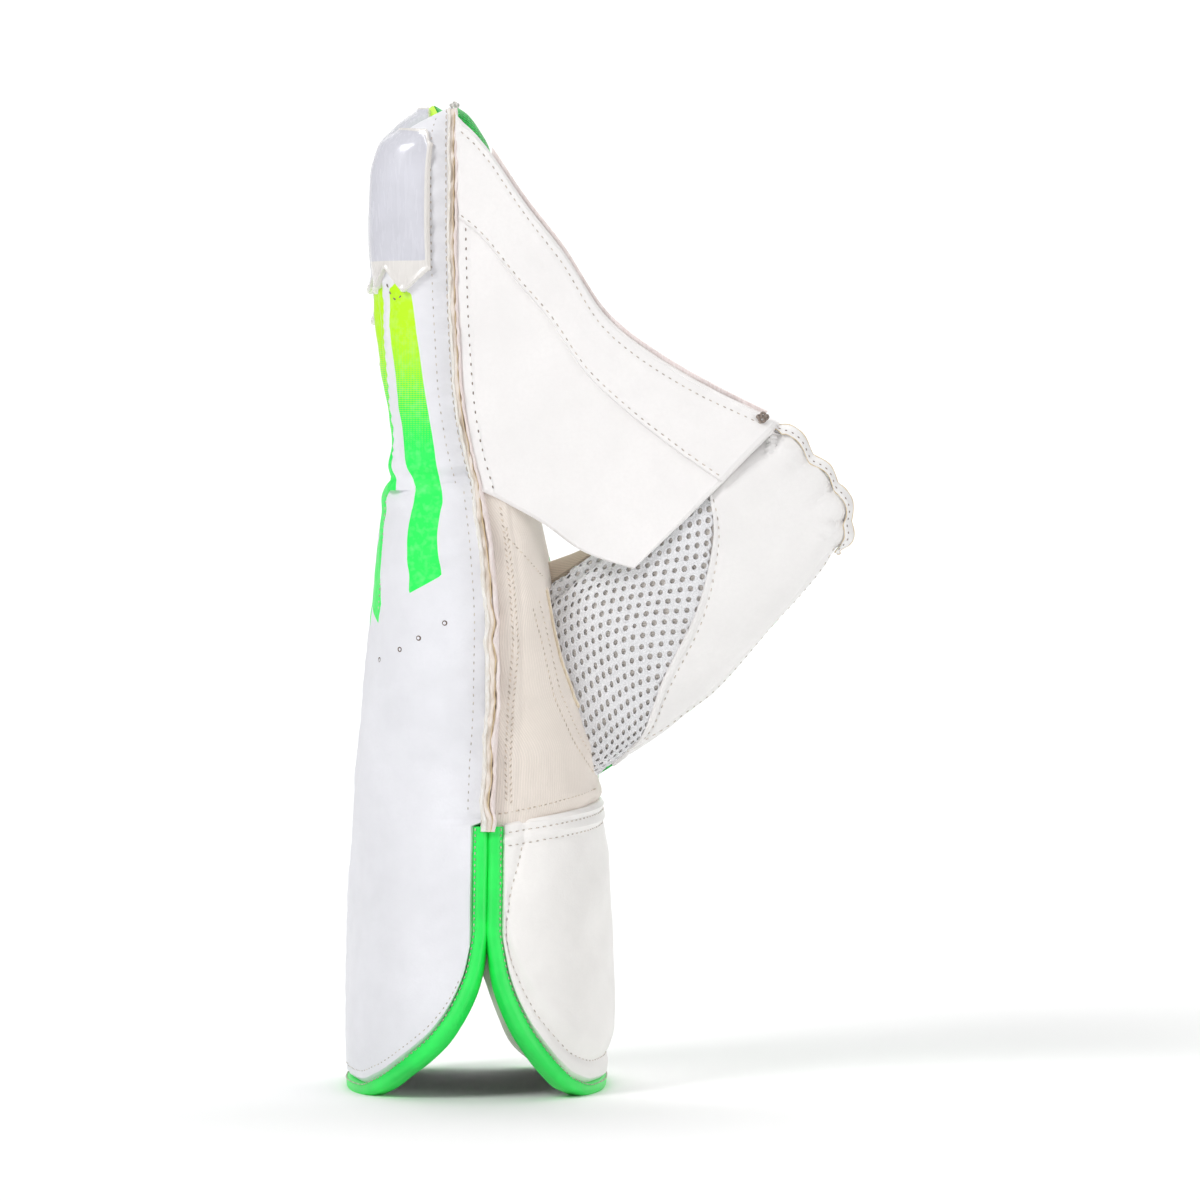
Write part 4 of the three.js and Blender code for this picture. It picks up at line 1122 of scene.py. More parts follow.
class GLOVE_OT_finger_backs(GlovePiece, bpy.types.Operator):
    """Leather back of each finger with its printed stripes and puckered seam"""

    bl_idname = "glove.finger_backs"
    bl_label = "Finger Backs"

    def build(self):
        for k, finger in enumerate(FINGERS):
            self.finger(k, *finger[:4])
        sew("finger_back", "finger_back_stitches", "thread_beige", "back_leather")
        sew("guard", "guard_stitches", "thread_dark", "back_leather")

    def finger(self, k, name, reach, _, splay):
        def place(s, t):
            return mix(-1.0, 1.0, s), stall_at(t)

        surface = finger_surface(k, -GAP / 2)
        sheet = Cloth(surface, 72, steps(LAYOUT[k][2] + 22), place, (0, 0, 1))
        z, turn, at = sheet.p[..., 2], sheet.u, sheet.v
        low = ramp(z, KNUCKLES, KNUCKLES + 14)
        relief = sheet.uneven((0.4, 11 + k, 19), (0.14, 35 + k, 7))
        relief += crease(z) * (1 - 0.4 * low) - 0.8 * ramp(-at, 0.0, 0.022)
        seam = smooth(PUCKER, at) if k == 0 else 0.52 + 0 * at
        shown = ramp(at, 0.02, 0.08) * ramp(0.6 - at, 0, 0.05)
        pucker = np.sin(z * 2 * np.pi / 3.4 + wander(z, 5 + k, 7) * 1.8)
        relief += (0.6 + 0.35 * pucker) * hump(turn, seam, 0.045) * shown
        beside = hump(turn, seam + 0.1, 0.035) + hump(turn, seam - 0.09, 0.035)
        relief += -0.5 * beside * shown
        relief += -0.7 * hump(turn, -0.5, 0.035) * ramp(0.5 - at, 0, 0.05)
        relief += sheet.rounded(1.2, "left", "right")
        ripple = np.sin(z * 2 * np.pi / 6.5 + 2 * wander(z, 31, 9))
        relief += 0.35 * ripple * hump(turn, 1.0, 0.3)
        swell = (0.35 if k == 0 else 1.0) * smooth(SWELL, at)
        relief += swell * ramp(0.75 - np.abs(turn), 0, 0.6)
        relief *= ramp(1.0 - at, 0, 0.05)
        if k == 0:
            middle = LAYOUT[k][0] + splay * WIDTH * at * reach
            first = np.minimum(near_stripe(sheet.p, middle), (turn - seam - 0.06) * 20)
            far = middle + mix(9.0, 5.5, ramp(at, 0, 0.15)) - sheet.p[..., 1]
            top = photo_z(GUARD_FOOT) - z
            second = np.minimum.reduce([(seam - 0.06 - turn) * 20, far, top])
            stripe = np.maximum(first, second)
        else:
            wider = 3.2 if k == 1 else 0.0
            half = STRIPE_HALF + wider + 0.3 * wander(z, 60 + k, 11)
            stripe = half - np.abs(sheet.a - wider)
        piece = sheet.make(name + "_leather", relief, 2.2, "back", {"stripe": stripe})
        ready(piece, "back_leather", name + "_back")
        self.sew_sides(sheet, relief, k)
        if k == 0:
            stitch("guard", traced(sheet, relief, GUARD_PATH), 2.5, 0.5, 0.25, 0.04, 33)
        else:
            t = np.linspace(0.5, 0.84, 50)
            for s in (0.045, 0.955):
                line = sheet.sample(np.full_like(t, s), t, relief)
                stitch("guard", line, 2.5, 0.5, 0.25, 0.04, 34)

    def sew_sides(self, sheet, relief, k):
        """Row of stitches beside each side seam."""
        t = np.linspace(0.01, 0.93, 120)
        share = FINGER_SEAM / sheet.width_at(t)
        for side, inset in ((1, 1 - share), (-1, share)):
            if k == 0 or side == -1:
                line = sheet.sample(inset, t, relief)
                stitch("finger_back", line, seam_pitch(), 0.5, 0.2, 0.12, 7 + k + side)


def flap_edge(rows, middle, side, inset, steps_across=40):
    """Edge of a cuff flap moved into it by a distance, as turns from its middle and heights."""
    across = np.arange(-steps_across, steps_across + 1)
    share = (np.abs(across) / steps_across) ** 0.8
    lift = np.where(across > 0, smooth(rows, share, 2), smooth(rows, share)) * CUFF - 0.8
    rise = np.arange(1, FLAP_RISE + 1) / FLAP_RISE
    near, far = (mix(end, CUFF - 1.0 - GAP, rise) for end in (lift[0], lift[-1]))
    turns = np.concatenate([-np.ones(FLAP_RISE), np.copysign(share, across), np.ones(FLAP_RISE)])
    heights = np.concatenate([near[::-1], lift, far])
    scale = spread(middle - side * turns, middle, heights)
    run = np.gradient(turns) * 2 * scale
    rise = np.gradient(heights) * 2
    run[[0, -1]], rise[[0, -1]] = run[[1, -2]], rise[[1, -2]]
    size = np.hypot(run, rise)
    moved_up = inset * run / size
    moved_up[[0, -1]] = 0
    return turns - inset * rise / size / scale, heights + moved_up


def spread(turn, middle, z):
    """Length of the hand's outline that one unit of turn covers."""
    t = mix(turn, middle, 0.03)
    return np.linalg.norm(body(t + 0.01, z) - body(t - 0.01, z), axis=-1) / 0.02


def crowded(share):
    """Shares from -1 to 1 with more of them in the middle."""
    return np.sign(share) * np.abs(share) ** 0.85


def flap_place(rows, middle, side, top_of, inset=4.5):
    """Place on a flap inside its binding, for shares from edge to edge and from rim to top."""
    low_turn, low_z = (row[FLAP_RISE:-FLAP_RISE] for row in flap_edge(rows, middle, side, inset))

    def place(s, t):
        share = (1 - 2 * s) * side
        part = crowded(share)
        edge = np.where(share < 0, -low_turn[0], low_turn[-1])
        low = np.interp(part * edge, low_turn, low_z)
        z = mix(low, top_of(middle - side * part), t)
        at_seam = middle - side * np.where(share < 0, -1.0, 1.0)
        wide = mix(edge, 1 - inset / spread(at_seam, middle, z), np.clip(t * 40, 0, 1))
        return middle - side * part * wide, z

    return place


class GLOVE_OT_back_panel(GlovePiece, bpy.types.Operator):
    """Padded leather of the back of the hand and of the cuff flap under it"""

    bl_idname = "glove.back_panel"
    bl_label = "Back Panel"

    def build(self):
        flap = flap_place(BACK_FLAP, 0, 1, lambda turn: CUFF - 1.0 + 0 * turn)
        rows_flap, rows_hand = steps(CUFF * 0.82), steps(HAND)
        share = rows_flap / (rows_flap + rows_hand)
        corner = np.abs(flap(np.array([0.0]), np.array([1.0]))[0][0])

        def place(s, t):
            u, v = flap(s, np.clip(t / share, 0, 1))
            upper = t > share + 1e-9
            f = np.clip((t - share) / (1 - share), 0, 1)
            turn = crowded(2 * s - 1) * mix(corner, 1.0, ramp(f, 0, 0.015))
            return np.where(upper, turn, u), np.where(upper, mix(CUFF - 1.0, KNUCKLES, f), v)

        sheet = Cloth(moved(body, 0, -GAP / 2), 128, rows_flap + rows_hand, place)
        x, z, turn = sheet.p[..., 0], sheet.p[..., 2], sheet.u
        relief = sheet.uneven((0.5, 3, 28), (0.16, 4, 9))
        fold = 0.9 * hump(z - 0.25 * x, 176, 3.5) - 0.7 * hump(z, 168, 3)
        relief += fold * (0.35 + 0.65 * hump(turn, 0.7, 0.25)) + crease(z)
        wrist = 0.5 * np.sin((z + 0.3 * x) * 2 * np.pi / 13)
        relief += wrist * hump(z, 104, 14) * hump(np.abs(turn), 0.85, 0.3)
        side = np.abs(turn)
        relief += -0.8 * hump(z, 89, 1.2) * ramp(side, 0.5, 0.9)
        relief += 0.6 * wander(z, 8, 6) * hump(side, 1, 0.22) * ramp(z, 90, 100)
        edge = smooth(HAND_SEAM, z)
        pucker = 0.55 * hump(turn, edge + 0.018, 0.016) - 0.5 * hump(turn, edge - 0.01, 0.012)
        relief += ramp(z, 148, 156) * pucker
        bend = z - 0.35 * x
        relief += (0.5 * hump(bend, 142, 4) - 0.45 * hump(bend, 134, 4)) * hump(turn, 0.55, 0.35)
        relief += sheet.rounded(1.4, "left", "right", "low")
        piece = sheet.make("back_panel", relief, 4.0, "back", {"stripe": self.stripes(sheet)})
        ready(piece, "back_leather", "hand_back")
        self.sew_rows(sheet, relief)
        self.holes(sheet, relief)

    def stripes(self, sheet):
        """The index finger's stripes and the foot of each other finger's stripe."""
        x, y, z = np.moveaxis(sheet.p, -1, 0)
        stripe = near_stripe(sheet.p, 0.0)
        foot = z - mix(147.5, 156.0, np.clip((y + 36) / 16, 0, 1))
        beside = (smooth(HAND_SEAM, z) - sheet.u) * 60, smooth(HAND_FAR, z) - y, foot
        stripe = np.maximum(stripe, np.where(sheet.u > 0, np.minimum.reduce(beside), AWAY))
        for k, foot in ((1, 152.0), (2, 158.0), (3, 164.0)):
            away = y - LAYOUT[k][0]
            own = np.minimum(STRIPE_HALF - np.abs(away), z - foot - 0.5 * away)
            stripe = np.maximum(stripe, np.where(x < 0, own, AWAY))
        return stripe

    def sew_rows(self, sheet, relief):
        t = np.linspace(0.005, 0.995, 200)
        t = t[np.interp(t, sheet.t[:, 0], sheet.p[:, -1, 2]) > CUFF + 3]
        share = HAND_SEAM_INSET / sheet.width_at(t)
        for side, s in ((1, 1 - share), (-1, share)):
            line = sheet.sample(s, t, relief)
            stitch("back", line, seam_pitch(), 0.5, 0.2, 0.12, 17 + side)
        rim = np.linspace(0.03, 0.97, 220)
        line = sheet.sample(rim, np.full_like(rim, 0.018), relief)
        stitch("back", line, 1.9, 0.55, 0.2, 0.1, 29)
        stitch("back", traced(sheet, relief, FOLD_PATH), 2.2, 0.6, 0.22, 0.02, 31)
        sew("back", "back_stitches", "thread_beige", "back_leather")

    def holes(self, sheet, relief):
        """Four punched holes, each a dark brown disc with a raised rim; the dark colour is painted
        shade for the inside of the hole.
        """
        rings = []
        angle = np.linspace(0, 2 * np.pi, 12, endpoint=False)[:, None]
        for spot in HOLES:
            p, n = traced(sheet, relief, [spot])
            flat = unit(np.cross(n, np.array([[0.0, 0.3, 1.0]])))
            out = flat * np.cos(angle) + np.cross(n, flat) * np.sin(angle)
            for radius, lift in ((0.3, -0.12), (0.6, 0.05), (0.8, 0.1), (0.9, -0.1)):
                rings.append(p + n * lift + out * radius)
        faces = repeated(4, 12, len(HOLES))
        piece = finish_mesh("back_holes", np.concatenate(rings), faces, "hole")
        ready(tidy(piece, 50, 1e-8), "back_leather")


# ---------------------------------------------------------------- cuff


def flap_binding(name, rows, middle, side, node, shift):
    """Rubber strip folded over the edge of a cuff flap and flat where it rests."""
    turns, heights = flap_edge(rows, middle, side, 2.2, 90)
    line = body(middle - side * turns, heights)
    line[:, 0] += shift
    line = even(line, 1.0)
    share = np.linspace(0, 1, len(line))
    turn = middle - side * np.interp(share, np.linspace(0, 1, len(turns)), turns)
    height = line[:, 2]
    du = body(turn + 0.01, height) - body(turn - 0.01, height)
    dv = body(turn, height + 0.5) - body(turn, height - 0.5)
    normal = unit(np.cross(du, dv))
    away = line * np.array([1.0, 1.0, 0.0])
    normal *= np.sign(np.sum(normal * away, axis=1))[:, None]
    out = unit(np.cross(normal, unit(np.gradient(line, axis=0))))
    if np.sum(out * (line - np.array([line[:, 0].mean(), line[:, 1].mean(), 60.0]))) < 0:
        out = -out
    wide, high = round_section(2.45, (FLAP_THICKNESS + 1.4) / 2, 3.6, 20)
    swell = 1 + 0.05 * wander(np.arange(len(line)) * 1.0, 12 + int(middle), 9)
    middle_line = line - normal * (FLAP_THICKNESS / 2)
    sections = carried(middle_line, normal, out, wide[None] * swell[:, None], high)
    sections[..., 2] = np.maximum(sections[..., 2], 0.0)
    ready(strip_mesh(name, sections, "binding"), "binding_rubber", node)
    p = line - out * 1.75 + normal * 0.66
    keep = p[:, 2] > 2.5
    stitch(name, (p[keep], normal[keep]), 1.9, 0.5, 0.2, 0.1, 41)


class GLOVE_OT_cuff(GlovePiece, bpy.types.Operator):
    """Palm-side cuff flap, its ribbed lining and the rubber bindings of both flaps"""

    bl_idname = "glove.cuff"
    bl_label = "Cuff"

    def build(self):
        place = flap_place(PALM_FLAP, 2, -1, lambda turn: seam_height(turn) - GAP)
        flap = Cloth(moved(body, 0, GAP / 2), 120, steps(CUFF * 0.85), place)
        relief = flap.uneven((0.25, 21, 24), (0.1, 22, 8))
        inner = flap.edge("left", "right", "low") - PAD_INSET
        relief += 1.6 * ramp(inner, 0, 8) - 0.9 * hump(inner, 0, 1.2) + 0.4 * hump(inner, -4, 3)
        for drop in CUFF_SEAMS:
            relief += -0.6 * hump(flap.high, drop, 0.9)
        relief += 0.5 * hump(flap.high, 5.3, 1.6) + flap.rounded(1.2)
        piece = flap.make("cuff_palm_leather", relief, 5.4, "cuff")
        ready(piece, "cuff_leather", "cuff_palm_flap")
        self.lining()
        flap_binding("back_binding", BACK_FLAP, 0, 1, "back_flap_binding", -GAP / 2)
        flap_binding("palm_binding", PALM_FLAP, 2, -1, "palm_flap_binding", GAP / 2)
        for group in ("back_binding", "palm_binding"):
            sew(group, group + "_stitches", "thread_beige", "binding_rubber")
        self.sew_rows(flap, relief)

    def lining(self):
        place = flap_place(LINING, 2, -1, lambda turn: seam_height(turn) - GAP, 0.0)
        cloth = Cloth(moved(body, 0, GAP / 2), 90, 60, place)
        cloth.p = cloth.p - cloth.n * LINING_DEPTH
        slack = ramp(np.abs(cloth.u - 2), 0.4, 0.8) * ramp(66 - cloth.v, 0, 30)
        cloth.p[..., 0] -= LINING_SLACK * slack
        piece = cloth.make("cuff_lining_cloth", cloth.uneven((0.25, 23, 14)), 1.0, "lining")
        ready(piece, "lining_cloth", "cuff_lining")
        declare(cloth)

    def sew_rows(self, flap, relief):
        """Two rows along the top of the flap, and one round its padding."""
        s = np.linspace(0.015, 0.985, 260)
        for drop in CUFF_SEAMS:
            line = flap.sample(s, 1 - drop / flap.height_at(s), relief)
            stitch("cuff", line, seam_pitch() * 0.9, 0.62, 0.22, 0.08, 50 + int(drop))
        t = np.linspace(0.02, 0.87, 160)
        bottom = [np.interp(PAD_INSET, low, row) for low, row in zip(flap.low.T, flap.t.T)]
        near = [np.interp(PAD_INSET, row, s_row) for row, s_row in zip(flap.left, flap.s)]
        far = [np.interp(row[-1] - PAD_INSET, row, s_row) for row, s_row in zip(flap.left, flap.s)]
        left, right = (
            np.stack([side, t], 1)[t > np.interp(side, flap.s[0], bottom)]
            for side in (np.interp(t, flap.t[:, 0], edge) for edge in (near, far))
        )
        along = np.linspace(left[0, 0], right[0, 0], 160)
        floor = np.stack([along, np.interp(along, flap.s[0], bottom)], 1)
        path = np.concatenate([left[::-1], floor[1:-1], right])
        line = flap.sample(path[:, 0], path[:, 1], relief)
        stitch("cuff", line, seam_pitch(), 0.55, 0.22, 0.1, 57)
        sew("cuff", "cuff_stitches", "thread_beige", "cuff_leather")


# ---------------------------------------------------------------- gusset, palm and seams


def gusset_end(z):
    """Turn of the seam between gusset and palm, which runs out below and above the thumb."""
    return GUSSET_TURN + 0.31 * ramp(z, 132, 108) + 0.38 * hump(z, 177, 17)


def hand_sheet(start, stop):
    """Sheet on the hand between two turns, each given for a height."""

    def place(s, t):
        turn = mix(start(mix(CUFF, KNUCKLES, t)), stop(mix(CUFF, KNUCKLES, t)), s)
        return turn, mix(seam_height(turn) - 3.0, KNUCKLES + 1.0, t)

    return Cloth(moved(body, 0, GAP / 2), 60, steps(HAND), place)


def open_for_thumb(piece):
    """Cuts the hole that the thumb goes in by."""
    rings = []
    for at in np.linspace(-0.3, 0.9, 14):
        p = thumb(np.linspace(0, 4, 40, endpoint=False), np.full(40, at))
        rings.append(p.mean(0) + (p - p.mean(0)) * 0.86)
    cut_out(piece, rings)


def refinish(piece, point, normal, finish):
    """Gives another finish to what lies behind a plane, with a clean edge along it."""
    point, normal = (np.array(point) + SHIFT) * MM, np.array(normal)
    only(piece)
    bpy.ops.object.mode_set(mode="EDIT")
    bpy.ops.mesh.select_all(action="SELECT")
    bpy.ops.mesh.bisect(plane_co=point.tolist(), plane_no=normal.tolist())
    bpy.ops.object.mode_set(mode="OBJECT")
    mesh = piece.data
    middle = np.zeros(len(mesh.polygons) * 3)
    mesh.polygons.foreach_get("center", middle)
    mesh.materials.append(FINISHES[finish])
    behind = (middle.reshape(-1, 3) - point) @ normal < 0
    mesh.polygons.foreach_set("material_index", np.where(behind, len(mesh.materials) - 1, 0))


class GLOVE_OT_hand_sides(GlovePiece, bpy.types.Operator):
    """Cotton gusset below the thumb, rubber palm facing and rubber of each finger"""

    bl_idname = "glove.hand_sides"
    bl_label = "Gusset and Palm"

    def build(self):
        self.gusset()
        self.palm()
        sew("gusset", "gusset_stitches", "thread_gusset", "gusset_cloth")
        for k, finger in enumerate(FINGERS):
            self.finger_palm(k, finger[0])

    def gusset(self):
        cloth = hand_sheet(lambda z: 1.0 + 0 * z, gusset_end)
        relief = cloth.uneven((0.35, 41, 17), (0.12, 42, 6))
        relief += -0.4 * hump(cloth.left, 9.5, 1.0) + 0.35 * hump(cloth.left, 7.5, 1.2)
        relief += 0.7 * hump(cloth.p[..., 2], 96, 2.5) * ramp(cloth.left, 2, 12)
        relief += cloth.rounded(0.5, "left", "right") - 1.0 * ramp(4.5 - cloth.low, 0, 2.5)
        piece = cloth.make("gusset_twill", relief, 1.3, "gusset")
        ready(piece, "gusset_cloth", "gusset")
        for seed, lean, path in GUSSET_PATHS:
            stitch("gusset", traced(cloth, relief, path), 1.9, 0.72, 0.22, 0.02, seed, lean)
        self.raw_edge(cloth, relief)
        open_for_thumb(piece)
        declare(cloth)

    def palm(self):
        sheet = hand_sheet(lambda z: gusset_end(z) + 0.006, lambda z: 3.0 + 0 * z)
        y, z = sheet.p[..., 1], sheet.p[..., 2]
        relief = sheet.uneven((0.45, 44, 24), (0.15, 45, 9))
        relief += -0.9 * hump(z + 0.5 * y, 158, 2.2) + 0.5 * hump(z + 0.5 * y, 163, 4)
        relief += -0.8 * hump(z - 0.3 * y, 181, 2.0)
        relief += sheet.rounded(1.0, "left", "right") - 1.0 * ramp(4.5 - sheet.low, 0, 2.5)
        piece = sheet.make("palm_rubber_facing", relief, 2.4, "palm")
        open_for_thumb(piece)
        ready(piece, "palm_rubber", "palm_facing")

    def raw_edge(self, cloth, relief):
        """Cut edge of the seam that joins the mesh to the gusset."""
        line, n = traced(cloth, relief, MESH_SEAM_PATH, 0.5)
        run = np.arange(len(line)) * 0.5
        flat = unit(np.cross(unit(np.gradient(line, axis=0)), n))
        for name, shift, half, rise, finish in (
            ("felt", -0.45, 0.4, 1.0, "edge_beige"),
            ("waxed", 0.12, 0.22, 0.9, "edge_cream"),
        ):
            wide, high = round_section(half, rise / 2, 3, 10)
            sway = flat * (shift + 0.35 * wander(run, 67, 4))[:, None]
            sections = carried(line + sway + n * rise * 0.35, n, flat, wide, high)
            ready(strip_mesh("mesh_seam_" + name, sections, finish, 70), "raw_edge")

    def finger_palm(self, k, name):
        def place(s, t):
            return mix(1.0, 3.0, s), stall_at(t)

        rows = steps(LAYOUT[k][2] + 10)
        sheet = Cloth(finger_surface(k, GAP / 2), steps(40), rows, place, (0, 0, 1))
        at = sheet.v + 0.012 * wander(sheet.a, 48 + k, 6)
        relief = sheet.uneven((0.35, 46 + k, 18)) + sheet.rounded(1.3, "left", "right")
        for joint in (0.3, 0.33, 0.58, 0.61):
            relief += -0.75 * hump(at, joint, 0.011) + 0.35 * hump(at, joint + 0.016, 0.012)
        relief -= 1.3 * ramp(sheet.v, 0.72, 0.88) * (k == 1)
        relief *= ramp(1.0 - at, 0, 0.05)
        piece = sheet.make(name + "_rubber", relief, 2.2, "palm")
        ready(piece, "palm_rubber", name + "_palm")


class GLOVE_OT_side_seams(GlovePiece, bpy.types.Operator):
    """Raw layered seams that stand out along both sides of the glove"""

    bl_idname = "glove.side_seams"
    bl_label = "Side Seams"

    def build(self):
        for name, k, turn in (("thumb_side", 0, 1.0), ("little_side", 3, 3.0)):
            line = seam_side(k, turn)
            out_sign = -1 if turn == 1.0 else 1
            forward = unit(np.gradient(line, axis=0))
            out = unit(np.cross(np.array([1.0, 0, 0]), forward))
            out = np.where((out[:, 1] * out_sign < 0)[:, None], -out, out)
            flat = unit(np.cross(forward, out))
            flat = np.where((flat[:, 0] < 0)[:, None], -flat, flat)
            for layer in SEAM_LAYERS:
                self.layer(name + "_seam", line, out, flat, *layer)
            p = line + out * 2.6 - flat * 2.1
            stitch("fin", (p, -flat), 2.4, 0.7, 0.2, 0.0, 95)
            tie(name + "_knot", line[0] + out[0] * 1.2 + np.array([0.3, 0, 1.4]), "thread")
        sew("fin", "side_seam_stitches", "thread_beige", "raw_edge")

    def layer(self, seam, line, out, flat, layer, offset, thick, rise, finish, seed):
        """One cut edge of the seam, swaying beside its line."""
        run = np.arange(len(line)) * 0.8
        low_part = ramp(line[:, 2], KNUCKLES, KNUCKLES - 14)
        offset = mix(0.8, 1.15, low_part) * offset
        sway = (0.25 + 0.75 * low_part) * wander(run, 70, 6.5)
        sway += (0.1 + 0.2 * low_part) * wander(run, 70 + seed, 5.5)
        sway += 0.25 * wander(run, 80 + seed, 1.9)
        height = rise + 0.45 * wander(run, 90 + seed, 3.0)
        height *= mix(0.55, 1.0, ramp(run, 0, 6)) * mix(0.5, 1.0, ramp(run[-1] - run, 0, 5))
        left, right = [], []
        for share, part in ((0.0, 1.0), (0.35, 1.0), (0.7, 0.95), (0.93, 0.8), (1.0, 0.4)):
            middle = line + out * (0.3 + height * share)[:, None]
            middle = middle + flat * (offset + sway * share**1.6)[:, None]
            half = flat * (part * thick / 2 * mix(0.85, 1.15, low_part))[:, None]
            left.append(middle - half)
            right.insert(0, middle + half)
        piece = strip_mesh(seam + "_" + layer, np.stack(left + right, 1), finish, 70)
        ready(piece, "raw_edge", *([seam] if layer == "outer" else []))


def tie(name, at, finish, size=1.0):
    """Thread knot, as four small loops drawn together."""
    x, y, z = (at + SHIFT) * MM
    size *= MM
    parts = []
    for dx, dz, share in ((0, 0, 1.0), (0.9, 0.4, 0.8), (-0.7, 0.6, 0.75), (0.2, 1.0, 0.7)):
        bpy.ops.object.select_all(action="DESELECT")
        bpy.ops.mesh.primitive_torus_add(
            location=(x + dx * size, y, z + dz * size), rotation=(1.2 + dx, 0.5 * dz, dx),
            major_segments=14, minor_segments=7,
            major_radius=0.75 * share * size, minor_radius=0.36 * size,
        )
        parts.append(bpy.context.object)
    only(*parts)
    bpy.ops.object.join()
    bpy.ops.object.transform_apply(location=True, rotation=True, scale=True)
    knot = bpy.context.object
    knot.name = knot.data.name = name
    knot.data.materials.clear()
    knot.data.materials.append(FINISHES[finish])
    bpy.ops.object.shade_smooth()
    return ready(knot, "raw_edge")


# ---------------------------------------------------------------- tip guards


class GLOVE_OT_guards(GlovePiece, bpy.types.Operator):
    """Clear plastic guard over the back of each fingertip, with a thick pale rim"""

    bl_idname = "glove.guards"
    bl_label = "Tip Guards"

    def build(self):
        for k, finger in enumerate(FINGERS):

            def place(s, t):
                turn = mix(-0.82, 0.82, s)
                low = np.interp(np.abs(turn), CAP_EDGE[:, 0], CAP_EDGE[:, 1])
                corner = 0.036 * ramp(np.abs(turn), 0.62, 0.82) ** 2
                return turn, mix(low, GUARD_TOPS[k] - corner, t)

            sheet = Cloth(finger_surface(k, -GAP / 2), 72, 84, place)
            edge = sheet.edge(*ALL_SIDES)
            lower = GUARD_AWAY if k else photo_z(GUARD_FOOT) - sheet.p[..., 2]
            relief = 1.75 + 0.35 * ramp(1.9 - edge, 0, 0.5) + sheet.rounded(0.8)
            relief += 0.45 * ramp(edge, 2, 9)
            relief += (1.9 if k else 0.5) * ramp(8 - sheet.low, 0, 8) ** 1.5
            marks = {"rim": np.maximum(1.7 - edge, lower)}
            piece = sheet.make(finger[0] + "_guard", relief, 1.3, "clear", marks)
            ready(piece, "clear_plastic", finger[0] + "_cap")


# ---------------------------------------------------------------- web


class GLOVE_OT_web(GlovePiece, bpy.types.Operator):
    """Leather web from the index finger to the thumb, with its sewn band and backing"""

    bl_idname = "glove.web"
    bl_label = "Web"

    def build(self):
        main = self.cloth(120)
        relief = main.uneven((0.5, 61, 38), (0.14, 62, 11))
        relief += 0.6 * ramp(5.2 - main.left, 0, 0.8) - 0.35 * hump(main.left, 3.4, 0.9)
        relief += main.rounded(0.8)
        piece = main.make("web_leather", relief, 1.9, "web")
        ready(piece, "web_leather", "web")
        declare(main)
        t = np.linspace(0.012, 0.97, 200)
        line = main.sample(3.6 / main.width_at(t), t, relief)
        stitch("web_dark", line, 3.05, 0.42, 0.24, 0.12, 71)
        self.band()
        sew("web_dark", "web_side_stitches", "thread_dark", "web_leather")
        sew("web_band", "web_band_stitches", "thread_beige", "web_leather")
        self.backing()

    def cloth(self, rows, place=None, columns=118):
        """A sheet on the web that faces the thumb's side."""
        sheet = Cloth(web, steps(columns), steps(rows) if place is None else rows, place)
        if sheet.n[..., 1].mean() > 0:
            sheet.n = -sheet.n
        return sheet

    def band(self):
        band = self.cloth(34, lambda s, t: (s, mix(band_from(s), 0.992, t)))
        relief = 1.7 + band.uneven((0.28, 63, 13), (0.1, 64, 5))
        relief += -0.35 * hump(band.high, 2.8, 0.8) - 0.3 * hump(band.low, 1.6, 0.6)
        relief += band.rounded(1.1)
        piece = band.make("web_band_leather", relief, 1.4, "web")
        ready(piece, "web_leather", "web_band")
        declare(band)
        s = np.linspace(0.01, 0.985, 260)
        tall = band.height_at(s)
        for drop, pitch, seed in ((2.8, 2.45, 72), (tall - 1.7, 2.7, 73)):
            line = band.sample(s, 1 - drop / tall, relief)
            stitch("web_band", line, pitch, 0.55, 0.22, 0.08, seed)

    def backing(self):
        def place(s, t):
            along = mix(0.1, 0.955, s)
            return along, mix(band_from(along), 1.022, t)

        rear = self.cloth(40, place, 100)
        rear.p = rear.p - rear.n * 2.9
        relief = 0.35 * wander(rear.a, 66, 5) * ramp(3 - rear.high, 0, 2)
        piece = rear.make("web_backing_leather", relief, 1.4, "edge_pink")
        ready(piece, "raw_edge", "web_backing")
        declare(rear)


# ---------------------------------------------------------------- thumb


# Where the ruffle round the tip is drawn in, as columns and rows of the photograph
PINCHES = ((780, 418), (818, 448), (843, 478), (850, 520), (838, 550))


def leather_low(at):
    """Turn where the thumb's leather ends: beside the mesh, and past it on the far side."""
    past = np.clip((at - MESH_END) / 0.05, 0, 1)
    return np.where(at < MESH_END, mesh_turn(at), mix(mesh_turn(np.array(MESH_END)), -0.97, past))


def outward(sheet):
    """Turns a thumb sheet's directions away from the thumb's axis."""
    at = np.clip(sheet.v, -0.3, 1)
    run = at * THUMB_LENGTH
    middle = ROOT[0] + ALONG[0] * run, ROOT[1] - at * THUMB_SLANT, ROOT[2] + ALONG[2] * run
    if np.sum((sheet.p - np.stack(middle, -1)) * sheet.n) < 0:
        sheet.n = -sheet.n
    return sheet


